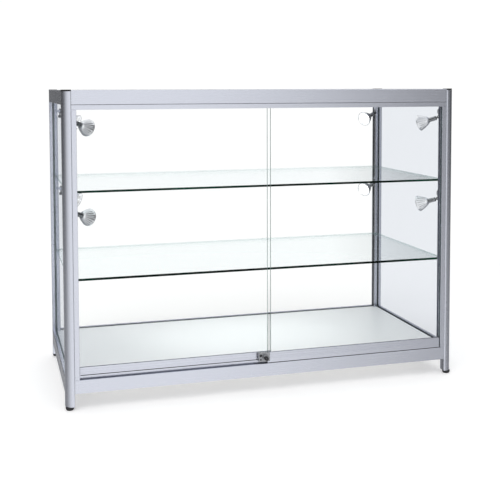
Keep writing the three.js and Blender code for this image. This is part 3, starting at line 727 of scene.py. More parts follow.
class SHOWCASE_OT_rails(bpy.types.Operator):
    """Base and top rails with their glass slots, and the seals and beads along the panes"""

    bl_idname = "showcase.rails"
    bl_label = "Rails and Seals"

    def execute(self, context):
        near, far = PANE_INSET - SLOT / 2, PANE_INSET + SLOT / 2
        seat = extent("deck_board")[0].z - GAP
        top_seat = extent("glass_top")[0].z - GAP
        for side, turns in FIXED_SIDES.items():
            grain = "aluminium_x" if side == "rear" else "aluminium_y"
            low, high = (corner.z for corner in extent(f"base_rail_{side}"))
            floor = high - RAIL_SLOT_DEPTH
            outline = [
                (0, low, 1.4), (POST, low), (POST, seat), (REBATE + GAP, seat, 0),
                (REBATE + GAP, floor, 0), (near, floor, 0), (near, high, 0.5), (0, high, 1.5)
            ]
            hollow = rectangle(WALL, low + WALL, POST - WALL, seat - WALL)
            self.add_rail("base", side, turns, grain, outline, hollow)

            low, high = (corner.z for corner in extent(f"top_rail_{side}"))
            roof = low + RAIL_SLOT_DEPTH
            outline = [
                (0, low), (near, low, 0.4), (near, roof, 0), (far, roof, 0), (far, low, 0.4),
                (POST, low), (POST, top_seat, 0.4), (REBATE, top_seat, 0), (REBATE, high, 0.5),
                (0, high, 1.5)
            ]
            hollow = rectangle(WALL, roof + WALL, POST - WALL, top_seat - WALL)
            self.add_gasket(side, *self.add_rail("top", side, turns, grain, outline, hollow))
        self.add_door_rails(seat, top_seat)
        return {"FINISHED"}

    def add_rail(self, kind, side, turns, grain, outline, hollow):
        node = f"{kind}_rail_{side}"
        place, left, right = side_place(turns, node)
        rail = Shape()
        loops = [rounded(outline, small("bar_round")), rounded(hollow, 0)]
        rail.extrusion(loops, left, right, place)
        rail.finished(f"{kind}_bar_{side}", grain, node)
        return place, left, right

    def add_gasket(self, side, place, left, right):
        """Gasket strips along both faces of a fixed pane, and a bead between it and the deck."""
        low = extent(f"base_rail_{side}")[1].z
        high = extent(f"top_rail_{side}")[0].z
        gasket = Shape()
        for way in (-1, 1):
            face, back = PANE_INSET + way * 2.55, PANE_INSET + way * 2.95
            for z0, z1 in ((low - 6, low - 3.4), (high - 0.9, high + 4))[way > 0 :]:
                gasket.block((face, z0, left), (back, z1, right), 0.12, place)
            for x0, x1 in ((left - 4, left + 0.9), (right - 0.9, right + 4)):
                gasket.block((face, low - 3.4, x0), (back, high - 0.9, x1), 0.12, place)
        gasket.finished(f"gasket_{side}", "seal_rubber")
        deck = extent("deck_board")[1].z
        ends = ((PANE_INSET + 2.6, deck - 5, left), (REBATE + GAP + 0.1, deck + 0.3, right))
        bead = Shape()
        bead.block(*ends, 0.1, place)
        bead.finished(f"deck_bead_{side}", "clear_bumper")

    def add_door_rails(self, seat, top_seat):
        deck = extent("deck_board")[1].z
        low = extent("base_rail_door_side")[0].z
        outline = [
            (0, low, 1.6), (POST, low), (POST, seat - WALL, 0), (POST + DECK_FLANGE, seat - WALL),
            (POST + DECK_FLANGE, seat), (POST, seat, 0), (POST, deck, 0.4), (REAR_LIP, deck, 0.4),
            (REAR_LIP, TRACK_FLOOR, 0.6), (FIN_BACK, TRACK_FLOOR, 0.6),
            (FIN_BACK, TRACK_FIN_TOP, 0.5), (FIN_FRONT, TRACK_FIN_TOP, 0.5),
            (FIN_FRONT, TRACK_FLOOR, 0.6), (LIP, TRACK_FLOOR, 0.6), (LIP, TRACK_LIP_TOP, 0.6),
            (0, TRACK_LIP_TOP, 1.5)
        ]
        hollow = rectangle(WALL, low + WALL, POST - WALL, seat - 2 * WALL)
        self.add_rail("base", "door_side", 0, "aluminium_x", outline, hollow)

        low, high = (corner.z for corner in extent("top_rail_door_side"))
        roof = SEAM_HEIGHT + 1
        outline = [
            (0, low, 0.8), (LIP, low, 0.5), (LIP, roof, 0), (FIN_FRONT, roof, 0),
            (FIN_FRONT, low, 0.5), (FIN_BACK, low, 0.5), (FIN_BACK, roof, 0), (REAR_LIP, roof, 0),
            (REAR_LIP, low, 0.5), (POST, low, 0.8), (POST, top_seat, 0.4), (REBATE, top_seat, 0),
            (REBATE, high, 0.5), (0, high, 1.5), (0, SEAM_HEIGHT + SEAM / 2, 0.3),
            (SEAM_DEPTH, SEAM_HEIGHT + SEAM / 2, 0), (SEAM_DEPTH, SEAM_HEIGHT - SEAM / 2, 0),
            (0, SEAM_HEIGHT - SEAM / 2, 0.3)
        ]
        hollow = rectangle(WALL, roof + WALL, POST - WALL, top_seat - WALL)
        place, left, right = self.add_rail("top", "door_side", 0, "aluminium_x", outline, hollow)
        # Painted shade: a dark strip in the bottom of the seam groove, so the seam line reads dark.
        ends = ((0.6, SEAM_HEIGHT - 0.55, left), (SEAM_DEPTH + 0.2, SEAM_HEIGHT + 0.55, right))
        seam_shade = Shape()
        seam_shade.block(*ends, 0.1, place)
        seam_shade.finished("seam_seal", "seal_rubber")


class SHOWCASE_OT_jambs(bpy.types.Operator):
    """Comb-shaped jambs between the front posts and the doors"""

    bl_idname = "showcase.jambs"
    bl_label = "Jambs"

    def execute(self, context):
        for side, way in (("left", 1), ("right", -1)):
            node = f"jamb_{side}"
            low, high = extent(node)
            tip, back = high.x - low.x, high.y - low.y
            comb = [
                (0, 0, 0.3), (0, back, 0.3), (tip, back, 0.4), (tip, back - JAMB_FLANGE, 0.4),
                (JAMB_WEB, back - JAMB_FLANGE, 0), (JAMB_WEB, FIN_BACK, 0), (tip, FIN_BACK, 0.4),
                (tip, FIN_FRONT, 0.4), (JAMB_WEB, FIN_FRONT, 0), (JAMB_WEB, JAMB_FLANGE, 0),
                (tip, JAMB_FLANGE, 0.4), (tip, 0, 0.5)
            ]
            origin = low.x if way > 0 else high.x
            place = Matrix.Translation((origin, low.y, 0)) @ Matrix.Diagonal((way, 1, 1, 1))
            jamb = Shape()
            jamb.extrusion([rounded(comb, 0.3)], TRACK_FIN_TOP + GAP, high.z, place)
            toe = rounded(rectangle(0.1, 0, tip, JAMB_FLANGE - GAP), 0.3)
            jamb.extrusion([toe], low.z, TRACK_FIN_TOP + 2 * GAP, place)
            jamb.finished(f"jamb_bar_{side}", "aluminium_z", node)
        return {"FINISHED"}


class SHOWCASE_OT_strips(bpy.types.Operator):
    """Slotted shelf strips with their tongues, pads and lamp lugs"""

    bl_idname = "showcase.strips"
    bl_label = "Shelf Strips"

    def execute(self, context):
        pitch = small("strip_pitch")
        width, thickness = 8, 3
        for place, (x, y, _) in CORNERS.items():
            node = f"shelf_strip_{place}"
            low, high = extent(node)
            # Drawn with the bar's outer edge at X 0, its back at Y 0 and the case towards -X, -Y.
            origin = (high.x if x > 0 else low.x, high.y if y > 0 else low.y, 0)
            matrix = Matrix.Translation(origin) @ Matrix.Diagonal((x, y, 1, 1))
            loops = [rounded(rectangle(-width, low.z, 0, high.z), 1.0)]
            height = low.z + pitch
            while height < high.z - pitch:
                loops.append(rounded(rectangle(-5.4, height - 4, -2.6, height + 4), 1.3))
                height += pitch
            strip, pads = Shape(), Shape()
            strip.extrusion(loops, -thickness, 0, matrix @ SWAP_YZ)
            for level in LEVELS:
                top = extent(f"shelf_{level}")[0].z - GAP
                strip.block((-width, -17, top - 2), (0, -1, top), 0.4, matrix)
                strip.block((-width, -7.5, top - 6), (-width + 2, -1, top - 1), 0.4, matrix)
                rim = top + GAP - 0.04
                pad = [(0, top), (3.1, top), (3.2, top + 0.1), (2.9, rim), (0, rim)]
                pads.turned(pad, 20, matrix @ Matrix.Translation((-width / 2, -12.5, 0)))
                tilt = joint_place(f"lamp_{level}_{place}_tilt").translation
                self.add_lug(strip, matrix, matrix.inverted() @ tilt, -width / 2)
            strip.finished(f"strip_{place}", "aluminium_z", node)
            pads.finished(f"shelf_pads_{place}", "clear_bumper")
        return {"FINISHED"}

    def add_lug(self, strip, matrix, pivot, side):
        """The lug that a lamp's pin turns in, with a rounded end and a pin hole."""
        reach = 4.5
        lug = [
            (side, -1, 0), (side, pivot.y - reach, 1.5), (pivot.x - reach, pivot.y - reach, reach),
            (pivot.x - reach, pivot.y + reach, 1.5), (pivot.x + reach / 2, -1, 0)
        ]
        hole = circle(pivot.x, pivot.y, 2.6)
        strip.extrusion([rounded(lug, 1)[::-1], hole], pivot.z + 14, pivot.z + 22, matrix)


# ---- Board and glass ----
def notched(low, high, x, y, front=False):
    """A rectangle with its rear corners, or all four, cut away round the posts, anticlockwise."""
    outline = [(high.x, y), (x, y), (x, high.y), (-x, high.y), (-x, y), (low.x, y)]
    if not front:
        return outline + [(low.x, low.y), (high.x, low.y)]
    outline += [(low.x, -y), (-x, -y), (-x, low.y)]
    return outline + [(x, low.y), (x, -y), (high.x, -y)]


def inner_corner(clearance):
    """X and Y of the rear right post's inner corner, less a clearance."""
    corner = extent("post_rear_right")[1]
    return corner.x - POST - clearance, corner.y - POST - clearance


class SHOWCASE_OT_deck(bpy.types.Operator):
    """White faced deck board"""

    bl_idname = "showcase.deck"
    bl_label = "Deck Board"

    def execute(self, context):
        low, high = extent("deck_board")
        outline = rounded(notched(low, high, *inner_corner(2 * GAP)), 0.6)
        deck = Shape()
        deck.plate(outline, low.z, high.z, (0.5, 0.5), rim=1)
        deck.finished("deck", "deck_face deck_edge", "deck_board")
        return {"FINISHED"}


class SHOWCASE_OT_glass(bpy.types.Operator):
    """Fixed panes, the top glass and the two shelves, with ground arrises"""

    bl_idname = "showcase.glass"
    bl_label = "Fixed Glass"

    def execute(self, context):
        edges = (small("arris"),) * 2
        for side, turns in FIXED_SIDES.items():
            node = f"glass_{side}"
            place, left, right = side_place(turns, node)
            low, high = extent(node)
            thickness = (high.y - low.y) if side == "rear" else (high.x - low.x)
            outline = rounded(rectangle(left, low.z, right, high.z), 1.5)
            pane = Shape()
            pane.plate(outline, 0, thickness, edges, place @ SWAP_XZ, 1)
            face = "glass_face" if side == "rear" else "side_glass_face"
            pane.finished(f"pane_{side}", face + " pane_edge", node)

        low, high = extent("glass_top")
        top = Shape()
        outline = rounded(notched(low, high, *inner_corner(2 * GAP), True), 1.0)
        top.plate(outline, low.z, high.z, edges, rim=1)
        top.finished("pane_top", "glass_face pane_edge", "glass_top")
        for level in LEVELS:
            self.add_shelf(level, edges)
        return {"FINISHED"}

    def add_shelf(self, level, edges):
        """A shelf, and a painted dark band in each face for the dark of its front edge showing
        there.
        """
        low, high = extent(f"shelf_{level}")
        outline = rounded(notched(low, high, inner_corner(2)[0], inner_corner(5)[1]), 2.0)
        shelf = Shape()
        shelf.plate(outline, low.z, high.z, edges, rim=1)
        for face in shelf.mesh.faces:
            if face.material_index == 1 and face.calc_center_median().y > low.y + EDGE_BAND:
                face.material_index = 2
        # Painted band: a thin dark sheet in each face near the front, for the front edge's dark seen
        # through the glass.
        band = Shape()
        for base in (low.z - 0.05, high.z + 0.01):
            corner = (high.x - 2, low.y + EDGE_BAND, base + 0.04)
            band.block((low.x + 2, low.y + 0.5, base), corner, 0.01)
        band.finished(f"shelf_band_{level}", "shelf_edge")
        shelf.finished(f"shelf_glass_{level}", "shelf_face shelf_edge shelf_rim", f"shelf_{level}")


# ---- Doors ----
class SHOWCASE_OT_doors(bpy.types.Operator):
    """Sliding doors: glass, shoe with a dark strip of painted shade and end plugs, and rollers"""

    bl_idname = "showcase.doors"
    bl_label = "Sliding Doors"

    def execute(self, context):
        edges = (small("arris"),) * 2
        for side in ("left", "right"):
            node = f"door_glass_{side}"
            low, high = extent(node)
            outline = rounded(rectangle(low.x, low.z, high.x, high.z), 1.5)
            pane = Shape()
            pane.plate(outline, low.y, high.y, edges, SWAP_YZ, 1)
            pane.finished(f"door_pane_{side}", "glass_face pane_edge", node, f"door_{side}")
            self.add_shoe(side, f"door_{side}")
            for index in "ab":
                self.add_roller(f"{side}_{index}")
        return {"FINISHED"}

    def add_shoe(self, side, body):
        node = f"door_shoe_{side}"
        low, high = extent(node)
        half, middle = (high.y - low.y) / 2, (high.y + low.y) / 2
        slot = half - SHOE_WALL
        outline = [(-slot, low.z, 0.2), (-slot, SHOE_WEB_LOW, 0), (slot, SHOE_WEB_LOW, 0)]
        outline += [(slot, low.z, 0.2), (half, low.z, 0.3)]
        for height in SHOE_LINES:
            outline += self.groove(half, height, 1)
        outline += [(half, high.z, 0.45), (slot, high.z, 0.3), (slot, SHOE_WEB_TOP, 0)]
        outline += [(-slot, SHOE_WEB_TOP, 0), (-slot, high.z, 0.3), (-half, high.z, 0.45)]
        for height in reversed(SHOE_LINES):
            outline += self.groove(-half, height, -1)
        outline.append((-half, low.z, 0.3))
        place = Matrix.Translation((0, middle, 0)) @ SECTION_TO_RAIL
        shoe = Shape()
        shoe.extrusion([rounded(outline, 0.2)], low.x, high.x, place)
        shoe.finished(f"shoe_{side}", "aluminium_x", node, body)

        # Painted shade: a thin dark strip on the shoe's face at the top of its track, for the dark
        # gap line there.
        top = (TRACK_LIP_TOP if side == "right" else TRACK_FIN_TOP) + GAP_SHADE_RISE
        face = middle - half
        gap_shade = Shape()
        gap_shade.block((low.x + 2, face - 0.5, top - 6), (high.x - 2, face + 0.1, top), 0.1)
        gap_shade.finished(f"shoe_brush_{side}", "seal_rubber", None, body)
        plugs = Shape()
        for end, way in ((low.x, 1), (high.x, -1)):
            corner = (end + way * 9, middle + slot - 0.1, 91)
            plugs.block((end, middle - slot + 0.1, low.z + 1), corner, 0.5)
        plugs.finished(f"shoe_plugs_{side}", "black_plastic", None, body)

    def groove(self, face, height, way):
        """A fine line pressed into the face of the shoe."""
        depth = face - way * 0.5
        low, high = height - 0.35 * way, height + 0.35 * way
        pressed = [(depth, low + 0.1 * way, 0), (depth, high - 0.1 * way, 0)]
        return [(face, low, 0), *pressed, (face, high, 0)]

    def add_roller(self, name):
        node = f"door_roller_{name}"
        low, high = extent(node)
        radius, reach = (high.z - low.z) / 2, (high.y - low.y) / 2
        place = Matrix.Translation((low + high) / 2) @ Z_TO_FRONT
        half = 2.4
        wheel = [
            (2.2, -half), (4.2, -half), (4.6, -half + 0.7), (5.6, -half + 0.7), (6.0, -half),
            (radius - 0.5, -half), (radius, -half + 0.6), (radius - 0.35, 0), (radius, half - 0.6),
            (radius - 0.5, half), (6.0, half), (5.6, half - 0.7), (4.6, half - 0.7), (4.2, half),
            (2.2, half)
        ]
        axle = [
            (0, -reach), (1.4, -reach), (1.7, -reach + 0.3), (1.7, -half), (2.25, -half + 0.1),
            (2.25, half - 0.1), (1.7, half), (1.7, reach - 0.3), (1.4, reach), (0, reach)
        ]
        roller = Shape()
        roller.turned(wheel, 40, place, 0)
        roller.turned(axle, 20, place, 1)
        roller.finished(f"roller_{name}", "nylon chrome", node, f"roller_{name}")


class SHOWCASE_OT_lock(bpy.types.Operator):
    """Plunger lock on the front door: body, plate, screws, barrel and plunger"""

    bl_idname = "showcase.lock"
    bl_label = "Plunger Lock"

    def execute(self, context):
        low, high = extent("lock_housing")
        rod_low, rod_high = extent("lock_plunger")
        barrel = Vector(((rod_low.x + rod_high.x) / 2, 0, (rod_low.z + rod_high.z) / 2))
        face = extent("door_shoe_right")[0].y - GAP - LIP
        side = extent("door_glass_right")[0].x - GAP
        outline = rounded(rectangle(low.x + 0.4, low.z + 0.4, side, high.z - 1), 0.8)
        plate = rounded(rectangle(low.x, low.z, high.x, high.z), 2.6)
        bore = circle(barrel.x, barrel.z, 6.1, 32)
        housing = Shape()
        housing.extrusion([outline, bore], face + 1 + 1.6, high.y, SWAP_YZ)
        housing.extrusion([plate, bore], face + 0.5, face + LIP - 0.1, SWAP_YZ)
        housing.extrusion([inset(plate, 0.5), bore], face, face + 0.55, SWAP_YZ)
        ring = [
            (6.1, low.y + 0.5), (6.5, low.y), (7.7, low.y), (8.5, low.y + 0.6), (8.5, low.y + 3.2),
            (8.1, low.y + 3.6), (8.1, low.y + 4.2), (9.0, low.y + 4.8), (9.0, face + 1),
            (6.1, face + 1)
        ]
        centre = Matrix.Translation(barrel) @ Z_TO_REAR
        housing.turned(ring, 40, centre)
        screws = Shape()
        for height, radius in ((109.5, 4.2), (97.5, 2.7)):
            self.add_screw(screws, Vector((-29.5, face, height)), radius)
        housing.finished("lock_body", "nickel", "lock_housing", "door_right")
        screws.finished("lock_screws", "black_plastic chrome", None, "door_right")

        front, back = rod_low.y, rod_high.y
        radius = (rod_high.x - rod_low.x) / 2
        profile = [
            (0, front + 0.9), (3.9, front + 0.9), (4.1, front), (radius - 0.5, front),
            (radius, front + 0.5), (radius, back - 0.8), (radius - 0.8, back), (0, back)
        ]
        plunger = Shape()
        plunger.turned(profile, 40, centre, 0)
        # The keyway: a dark block on the plunger's face, painted shade for the slot's depth.
        key = Matrix.Translation(barrel + Vector((0, front + 0.9, 0)))
        plunger.block((-0.55, -0.12, -3.0), (0.55, 0.4, 3.0), 0.1, key, 1)
        plunger.finished("plunger", "chrome black_plastic", "lock_plunger", "plunger")
        return {"FINISHED"}

    def add_screw(self, screws, centre, radius):
        """A countersunk screw: a slotted head in a dark dish of painted shade."""
        place = Matrix.Translation(centre)
        shade_dish = [(0, -0.02), (radius - 0.1, -0.02), (radius, 0.1), (0, 0.1)]
        screws.turned(shade_dish, 24, place @ Z_TO_REAR, 0)
        head = [(0, -0.28), (1.3, -0.28), (1.8, -0.02), (0, 0.0)]
        screws.turned(head, 24, place @ Z_TO_REAR, 1)
        screws.block((-1.3, -0.34, -0.3), (1.3, -0.2, 0.3), 0.05, place, 0)


# ---- Spotlights ----
class SHOWCASE_OT_lamps(bpy.types.Operator):
    """Eight spotlights, each an arm with its fork, and a head with socket, reflector and burner"""

    bl_idname = "showcase.lamps"
    bl_label = "Spotlights"

    def execute(self, context):
        settings = context.scene.showcase_lamps
        tilt = Matrix.Rotation(settings.droop, 4, "Y")
        for name in (f"{level}_{place}" for level in LEVELS for place in CORNERS):
            place = joint_place(f"lamp_{name}_tilt")
            self.add_arm(name, place)
            self.add_head(name, place @ tilt, settings.flutes)
            self.add_beam(name, place @ tilt, settings.power)
        return {"FINISHED"}

    def add_arm(self, name, place):
        arm = Shape()
        pin = [
            (0, 3.2), (2.0, 3.2), (2.3, 4), (2.3, 11.7), (3.7, 11.7), (4, 12.0), (4, 13.4),
            (3.7, 13.7), (2.3, 13.7), (2.3, 22.3), (3.7, 22.3), (4, 22.6), (4, 24.0), (3.7, 24.3),
            (2.3, 24.3), (2.3, 26.4), (1.8, 27), (0, 27)
        ]
        arm.turned(pin, 24, place)
        cheek = [(-3.8, 5, 0.6), (-5, 0, 2), (-3.4, -4, 2), (3.4, -4, 2), (5, 0, 2), (3.8, 5, 0.6)]
        loops = [rounded(cheek, 1), circle(0, 0, 1.8)]
        arm.extrusion(loops, 2.3, 4.5, place @ SWAP_YZ)
        arm.extrusion(loops, -4.5, -2.3, place @ SWAP_YZ)
        arm.block((-3.8, -4.5, 3.1), (3.8, 4.5, 5), 0.5, place)
        arm.finished(f"arm_{name}", "nickel", f"lamp_arm_{name}", f"arm_{name}")

    def add_head(self, name, place, flutes):
        body = f"head_{name}"
        along, across = place @ Z_TO_X, place @ Z_TO_REAR
        head = Shape()
        sleeve = [
            (0, 8), (4.6, 8), (5.6, 8.3), (6.5, 9.4), (6.8, 10.4), (6.8, 15.6), (6.3, 16),
            (6.3, 19), (6.8, 19.4), (6.8, 24.6), (6.3, 25), (6.3, 27.6), (6.8, 28), (6.8, 31.5),
            (7.6, 32.4), (7.6, 34.5), (0, 34.5)
        ]
        head.turned(sleeve, 40, along, 0)
        for start, end in ((16.1, 18.9), (25.1, 27.5)):
            head.turned([(6.0, start), (6.72, start), (6.72, end), (6.0, end)], 40, along, 1)
        head.block((0, -2, -2.4), (11, 2, 2.4), 0.5, place)
        head.turned([(0, -2), (2.5, -2), (2.6, -1.8), (2.6, 1.8), (2.5, 2), (0, 2)], 24, across)
        head.turned([(0, -5), (1.1, -5), (1.5, -4.6), (1.5, 4.6), (1.1, 5), (0, 5)], 20, across)
        head.finished(f"lamp_holder_{name}", "nickel black_plastic", None, body)
        self.add_bowl(name, along, flutes)

        burner = Shape()
        base = [(0, 35), (5.6, 35), (5.8, 35.4), (5.8, 39), (5.0, 39.8), (0, 39.8)]
        burner.turned(base, 24, along, 0)
        capsule = [(0, 39.9), (2.6, 39.9), (3.6, 41.5), (4.3, 45), (4.3, 50), (3.4, 53.2)]
        burner.turned([*capsule, (1.6, 54.8), (0, 55.2)], 24, along, 1)
        burner.finished(f"burner_{name}", "ceramic lamp_glow", None, body)

        cover = Shape()
        lens = [(0, 64.6), (22.3, 64.6), (22.7, 64.9), (22.7, 65.6), (22.3, 65.9), (0, 66.3)]
        cover.turned(lens, 48, along)
        cover.turned([(22.8, 65.4), (23.6, 65.4), (23.6, 66.4), (22.8, 66.4)], 48, along, 1)
        cover.finished(f"lamp_front_{name}", "lamp_cover chrome", None, body)

    def add_bowl(self, name, place, flutes):
        """The reflector: fluted outside, smooth inside."""
        base, depth, neck, rim = 33, 34, 8, 25
        shares = [step / 10 for step in range(11)]
        shell = [(neck + (rim - neck) * s**0.72, base + depth * 0.92 * s) for s in shares]
        shell += [(rim, base + depth - 0.6), (rim - 0.6, base + depth)]
        shell += [(rim - 1.5, base + depth), (rim - 1.9, base + depth - 0.7)]
        shares = [1 - step / 8 for step in range(9)]
        inner = [(6.2 + 16.8 * s**0.72, base + 2.6 + 28.6 * s) for s in shares]
        sides = flutes * 5
        bowl = Shape()
        rings = []
        for index, (radius, height) in enumerate(shell):
            fade = min(1, index / 2) if index < 10 else 0
            outline = []
            for side in range(sides):
                angle = 2 * math.pi * side / sides
                press = 0.075 * fade * abs(math.sin(flutes * angle / 2))
                reach = radius * (1 - 0.075 * fade + press)
                outline.append((reach * math.cos(angle), reach * math.sin(angle)))
            rings.append(bowl.ring(outline, height, place))
        bowl.walls(rings)
        bowl.paint(0)
        liners = [bowl.ring(circle(0, 0, radius, sides), height, place) for radius, height in inner]
        bowl.walls([rings[-1], *liners])
        bowl.paint(1)
        bowl.walls([liners[-1], rings[0]])
        bowl.paint(0)
        finishes = "reflector_back reflector_inside"
        bowl.finished(f"reflector_{name}", finishes, f"lamp_head_{name}", f"head_{name}")

    def add_beam(self, name, place, power):
        """The light that the lamp throws, turning with its head."""
        beam = bpy.data.lights.new(f"beam_{name}", "SPOT")
        beam.energy = power
        beam.spot_size = math.radians(100)
        beam.spot_blend = 1.0
        beam.shadow_soft_size = 0.02
        beam.color = (1.0, 0.98, 0.95)
        lamp = bpy.data.objects.new(f"beam_{name}", beam)
        bpy.context.scene.collection.objects.link(lamp)
        matrix = place @ Matrix.Translation((70, 0, 0)) @ Matrix.Rotation(-QUARTER, 4, "Y")
        matrix.translation = matrix.translation * MM
        lamp.matrix_world = matrix
        lamp.visible_glossy = False
        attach(lamp, f"head_{name}")


class SHOWCASE_OT_transformer(bpy.types.Operator):
    """Ribbed lamp transformer under the deck"""

    bl_idname = "showcase.transformer"
    bl_label = "Lamp Transformer"

    def execute(self, context):
        low, high = extent("lamp_transformer")
        middle = (low.y + high.y) / 2
        body = Shape()
        outline = rounded(rectangle(low.x, low.y, high.x - 12, high.y), 4)
        body.plate(outline, low.z + 1.2, high.z, (1.5, 0.4))
        for rib in range(8):
            start = low.x + 14 + rib * 14
            body.block((start, low.y + 6, low.z), (start + 4, high.y - 6, low.z + 4), 0.8)
        for y0, y1, z0, z1, bevel in (
            (low.y, middle - 12, low.z + 1.2, high.z, 1.2),
            (middle + 12, high.y, low.z + 1.2, high.z, 1.2),
            (middle - 14, middle + 14, low.z + 1.2, low.z + 5, 0.6),
            (middle - 14, middle + 14, high.z - 3, high.z, 0.6),
        ):
            body.block((high.x - 14, y0, z0), (high.x, y1, z1), bevel)
        for offset in (-6, 0, 6):
            start = Vector((high.x - 13, middle + offset - 1, low.z + 11))
            body.block(start, start + Vector((8, 2, 3)), 0.3, IDENTITY, 1)
        body.finished("transformer", "black_plastic chrome", "lamp_transformer")
        return {"FINISHED"}


# ---- Stage ----
# Grey levels of the studio's walls, from the left, at 0, to the right, at 1
AHEAD_WALL = (
    (0, 0.1), (0.05, 0.24), (0.14, 0.46), (0.26, 0.64), (0.4, 0.78), (0.53, 0.84), (0.56, 1),
    (0.63, 0.9), (0.66, 0.8), (0.69, 0.6), (0.715, 0.34), (0.745, 0.1), (0.9, 0.14), (0.96, 0.08),
    (1, 0.03)
)
BEHIND_WALL = ((0, 0.05), (0.3, 0.1), (0.46, 0.12), (0.51, 1), (0.68, 1), (0.74, 0.3), (1, 0.06))
AHEAD_LEVEL, OVERHEAD_LEVEL, GROUND_LEVEL, GROUND_SHADE = 1.2, 1.05, 0.26, 0.25
FLOOR_RADIUS, SURROUND_RADIUS = 2.0, 8.9
SOFTBOX_PLACE, SOFTBOX_SIZE, SOFTBOX_POWER = (-1.2, -2.4, 3.4), (2.6, 2.2), 28
CAMERA_PLACE = (-0.7868, -2.7771, 0.9026)
CAMERA_YAW, CAMERA_PITCH, CAMERA_ROLL = (math.radians(angle) for angle in (16.01, -3.32, -0.151))
CAMERA_LENS, CAMERA_SENSOR, CAMERA_SHIFT = 64.35, 36, (0.0056, -0.22)


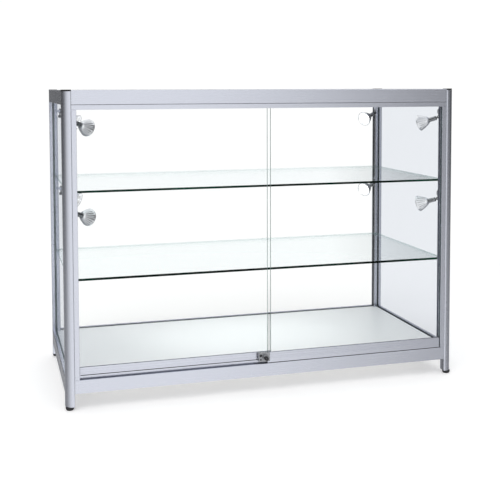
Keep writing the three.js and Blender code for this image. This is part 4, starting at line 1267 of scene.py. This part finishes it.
class SHOWCASE_OT_stage(bpy.types.Operator):
    """Pale floor and surround, soft studio light, and the camera"""

    bl_idname = "showcase.stage"
    bl_label = "Stage"

    def execute(self, context):
        drawing = bmesh.new()
        bmesh.ops.create_circle(drawing, cap_ends=True, segments=96, radius=FLOOR_RADIUS)
        floor, tree = self.stage_object("floor", drawing)
        glow = {"Emission_Color": (1, 0.995, 0.985, 1), "Emission_Strength": 0.27}
        tree.surface((0.9, 0.895, 0.885, 1), 0.8, **glow)
        floor.visible_glossy = False

        drawing = bmesh.new()
        size = {"u_segments": 48, "v_segments": 24, "radius": SURROUND_RADIUS}
        bmesh.ops.create_uvsphere(drawing, **size)
        surround, tree = self.stage_object("surround", drawing)
        tree.output(tree.node("Emission", {}, {"Color": (1, 1, 1, 1), "Strength": 1.03}))
        surround.visible_diffuse = False
        surround.visible_glossy = False
        surround.visible_shadow = False

        self.add_sky(context.scene)
        self.add_softbox(context.scene)
        self.add_camera(context.scene)
        context.scene.view_settings.view_transform = "Standard"
        return {"FINISHED"}

    def stage_object(self, name, drawing):
        mesh = bpy.data.meshes.new(name)
        drawing.to_mesh(mesh)
        drawing.free()
        material = bpy.data.materials.new(f"stage_{name}")
        mesh.materials.append(material)
        made = bpy.data.objects.new(name, mesh)
        bpy.context.scene.collection.objects.link(made)
        return made, Tree(material)

    def add_sky(self, scene):
        """Walls that differ ahead and behind, a bright ceiling, and a dim reflection from below."""
        scene.world = bpy.data.worlds.new("studio")
        tree = Tree(scene.world)
        ways = tree.node("TexCoord", output="Generated")
        across, depth, height = (tree.node("SeparateXYZ", {}, {0: ways}, way) for way in "XYZ")
        side = across * 0.5 + 0.5
        ahead, behind = tree.ramp(AHEAD_WALL, side), tree.ramp(BEHIND_WALL, side)
        rear = tree.ramp(((0.45, 0), (0.55, 1)), depth * 0.5 + 0.5)
        above = tree.ramp(((0.35, 0), (0.75, 1)), height)
        below = tree.ramp(((0.40, 1), (0.47, 0)), height * 0.5 + 0.5)
        walls = AHEAD_LEVEL * ahead * (1 - rear) + behind * rear
        level = walls * (1 - GROUND_SHADE * below) + GROUND_LEVEL * below
        strength = level * (1 - above) + OVERHEAD_LEVEL * above
        sockets = {"Color": (0.98, 0.985, 1.0, 1), "Strength": strength}
        tree.output(tree.node("Background", {}, sockets), "OutputWorld")

    def add_softbox(self, scene):
        panel = bpy.data.lights.new("softbox", "AREA")
        panel.shape = "RECTANGLE"
        panel.size, panel.size_y = SOFTBOX_SIZE
        panel.energy = SOFTBOX_POWER
        lamp = bpy.data.objects.new("softbox", panel)
        scene.collection.objects.link(lamp)
        lamp.location = SOFTBOX_PLACE
        way = Vector((0, 0, 0.3)) - Vector(SOFTBOX_PLACE)
        lamp.rotation_euler = way.to_track_quat("-Z", "Y").to_euler()
        lamp.visible_camera = False
        lamp.visible_glossy = False

    def add_camera(self, scene):
        camera = bpy.data.cameras.new("camera")
        camera.sensor_width = CAMERA_SENSOR
        camera.lens = CAMERA_LENS
        camera.shift_x, camera.shift_y = CAMERA_SHIFT
        view = bpy.data.objects.new("camera", camera)
        scene.collection.objects.link(view)
        level = math.cos(CAMERA_PITCH)
        x, y = math.sin(CAMERA_YAW) * level, math.cos(CAMERA_YAW) * level
        forward = Vector((x, y, math.sin(CAMERA_PITCH)))
        view.rotation_mode = "QUATERNION"
        turn = Matrix.Rotation(CAMERA_ROLL, 4, "Z").to_quaternion()
        view.rotation_quaternion = forward.to_track_quat("-Z", "Y") @ turn
        view.location = CAMERA_PLACE
        scene.camera = view


class SHOWCASE_PT_panel(bpy.types.Panel):
    """Lists the showcase's settings and the steps that draw it"""

    bl_label = "Showcase"
    bl_idname = "SHOWCASE_PT_panel"
    bl_space_type = "VIEW_3D"
    bl_region_type = "UI"
    bl_category = "Showcase"

    def draw(self, context):
        layout = self.layout
        for group in ("showcase_finishes", "showcase_sizes", "showcase_lamps"):
            settings = getattr(context.scene, group)
            box = layout.box()
            for name in settings.bl_rna.properties.keys():
                if name not in ("rna_type", "name"):
                    box.prop(settings, name)
        for step in STEPS:
            layout.operator(step.bl_idname)


STEPS = (
    SHOWCASE_OT_posts, SHOWCASE_OT_feet, SHOWCASE_OT_rails, SHOWCASE_OT_jambs, SHOWCASE_OT_strips,
    SHOWCASE_OT_deck, SHOWCASE_OT_glass, SHOWCASE_OT_doors, SHOWCASE_OT_lock, SHOWCASE_OT_lamps,
    SHOWCASE_OT_transformer, SHOWCASE_OT_stage
)
GROUPS = {
    "showcase_finishes": ShowcaseFinishes, "showcase_sizes": ShowcaseSizes,
    "showcase_lamps": ShowcaseLamps
}


def register():
    for group in GROUPS.values():
        bpy.utils.register_class(group)
    for name, group in GROUPS.items():
        setattr(bpy.types.Scene, name, bpy.props.PointerProperty(type=group))
    for step in STEPS:
        bpy.utils.register_class(step)
    bpy.utils.register_class(SHOWCASE_PT_panel)


def unregister():
    bpy.utils.unregister_class(SHOWCASE_PT_panel)
    for step in reversed(STEPS):
        bpy.utils.unregister_class(step)
    for name, group in GROUPS.items():
        delattr(bpy.types.Scene, name)
        bpy.utils.unregister_class(group)


def main():
    register()
    for step in STEPS:
        area, name = step.bl_idname.split(".")
        getattr(getattr(bpy.ops, area), name)()


if __name__ == "__main__":
    main()
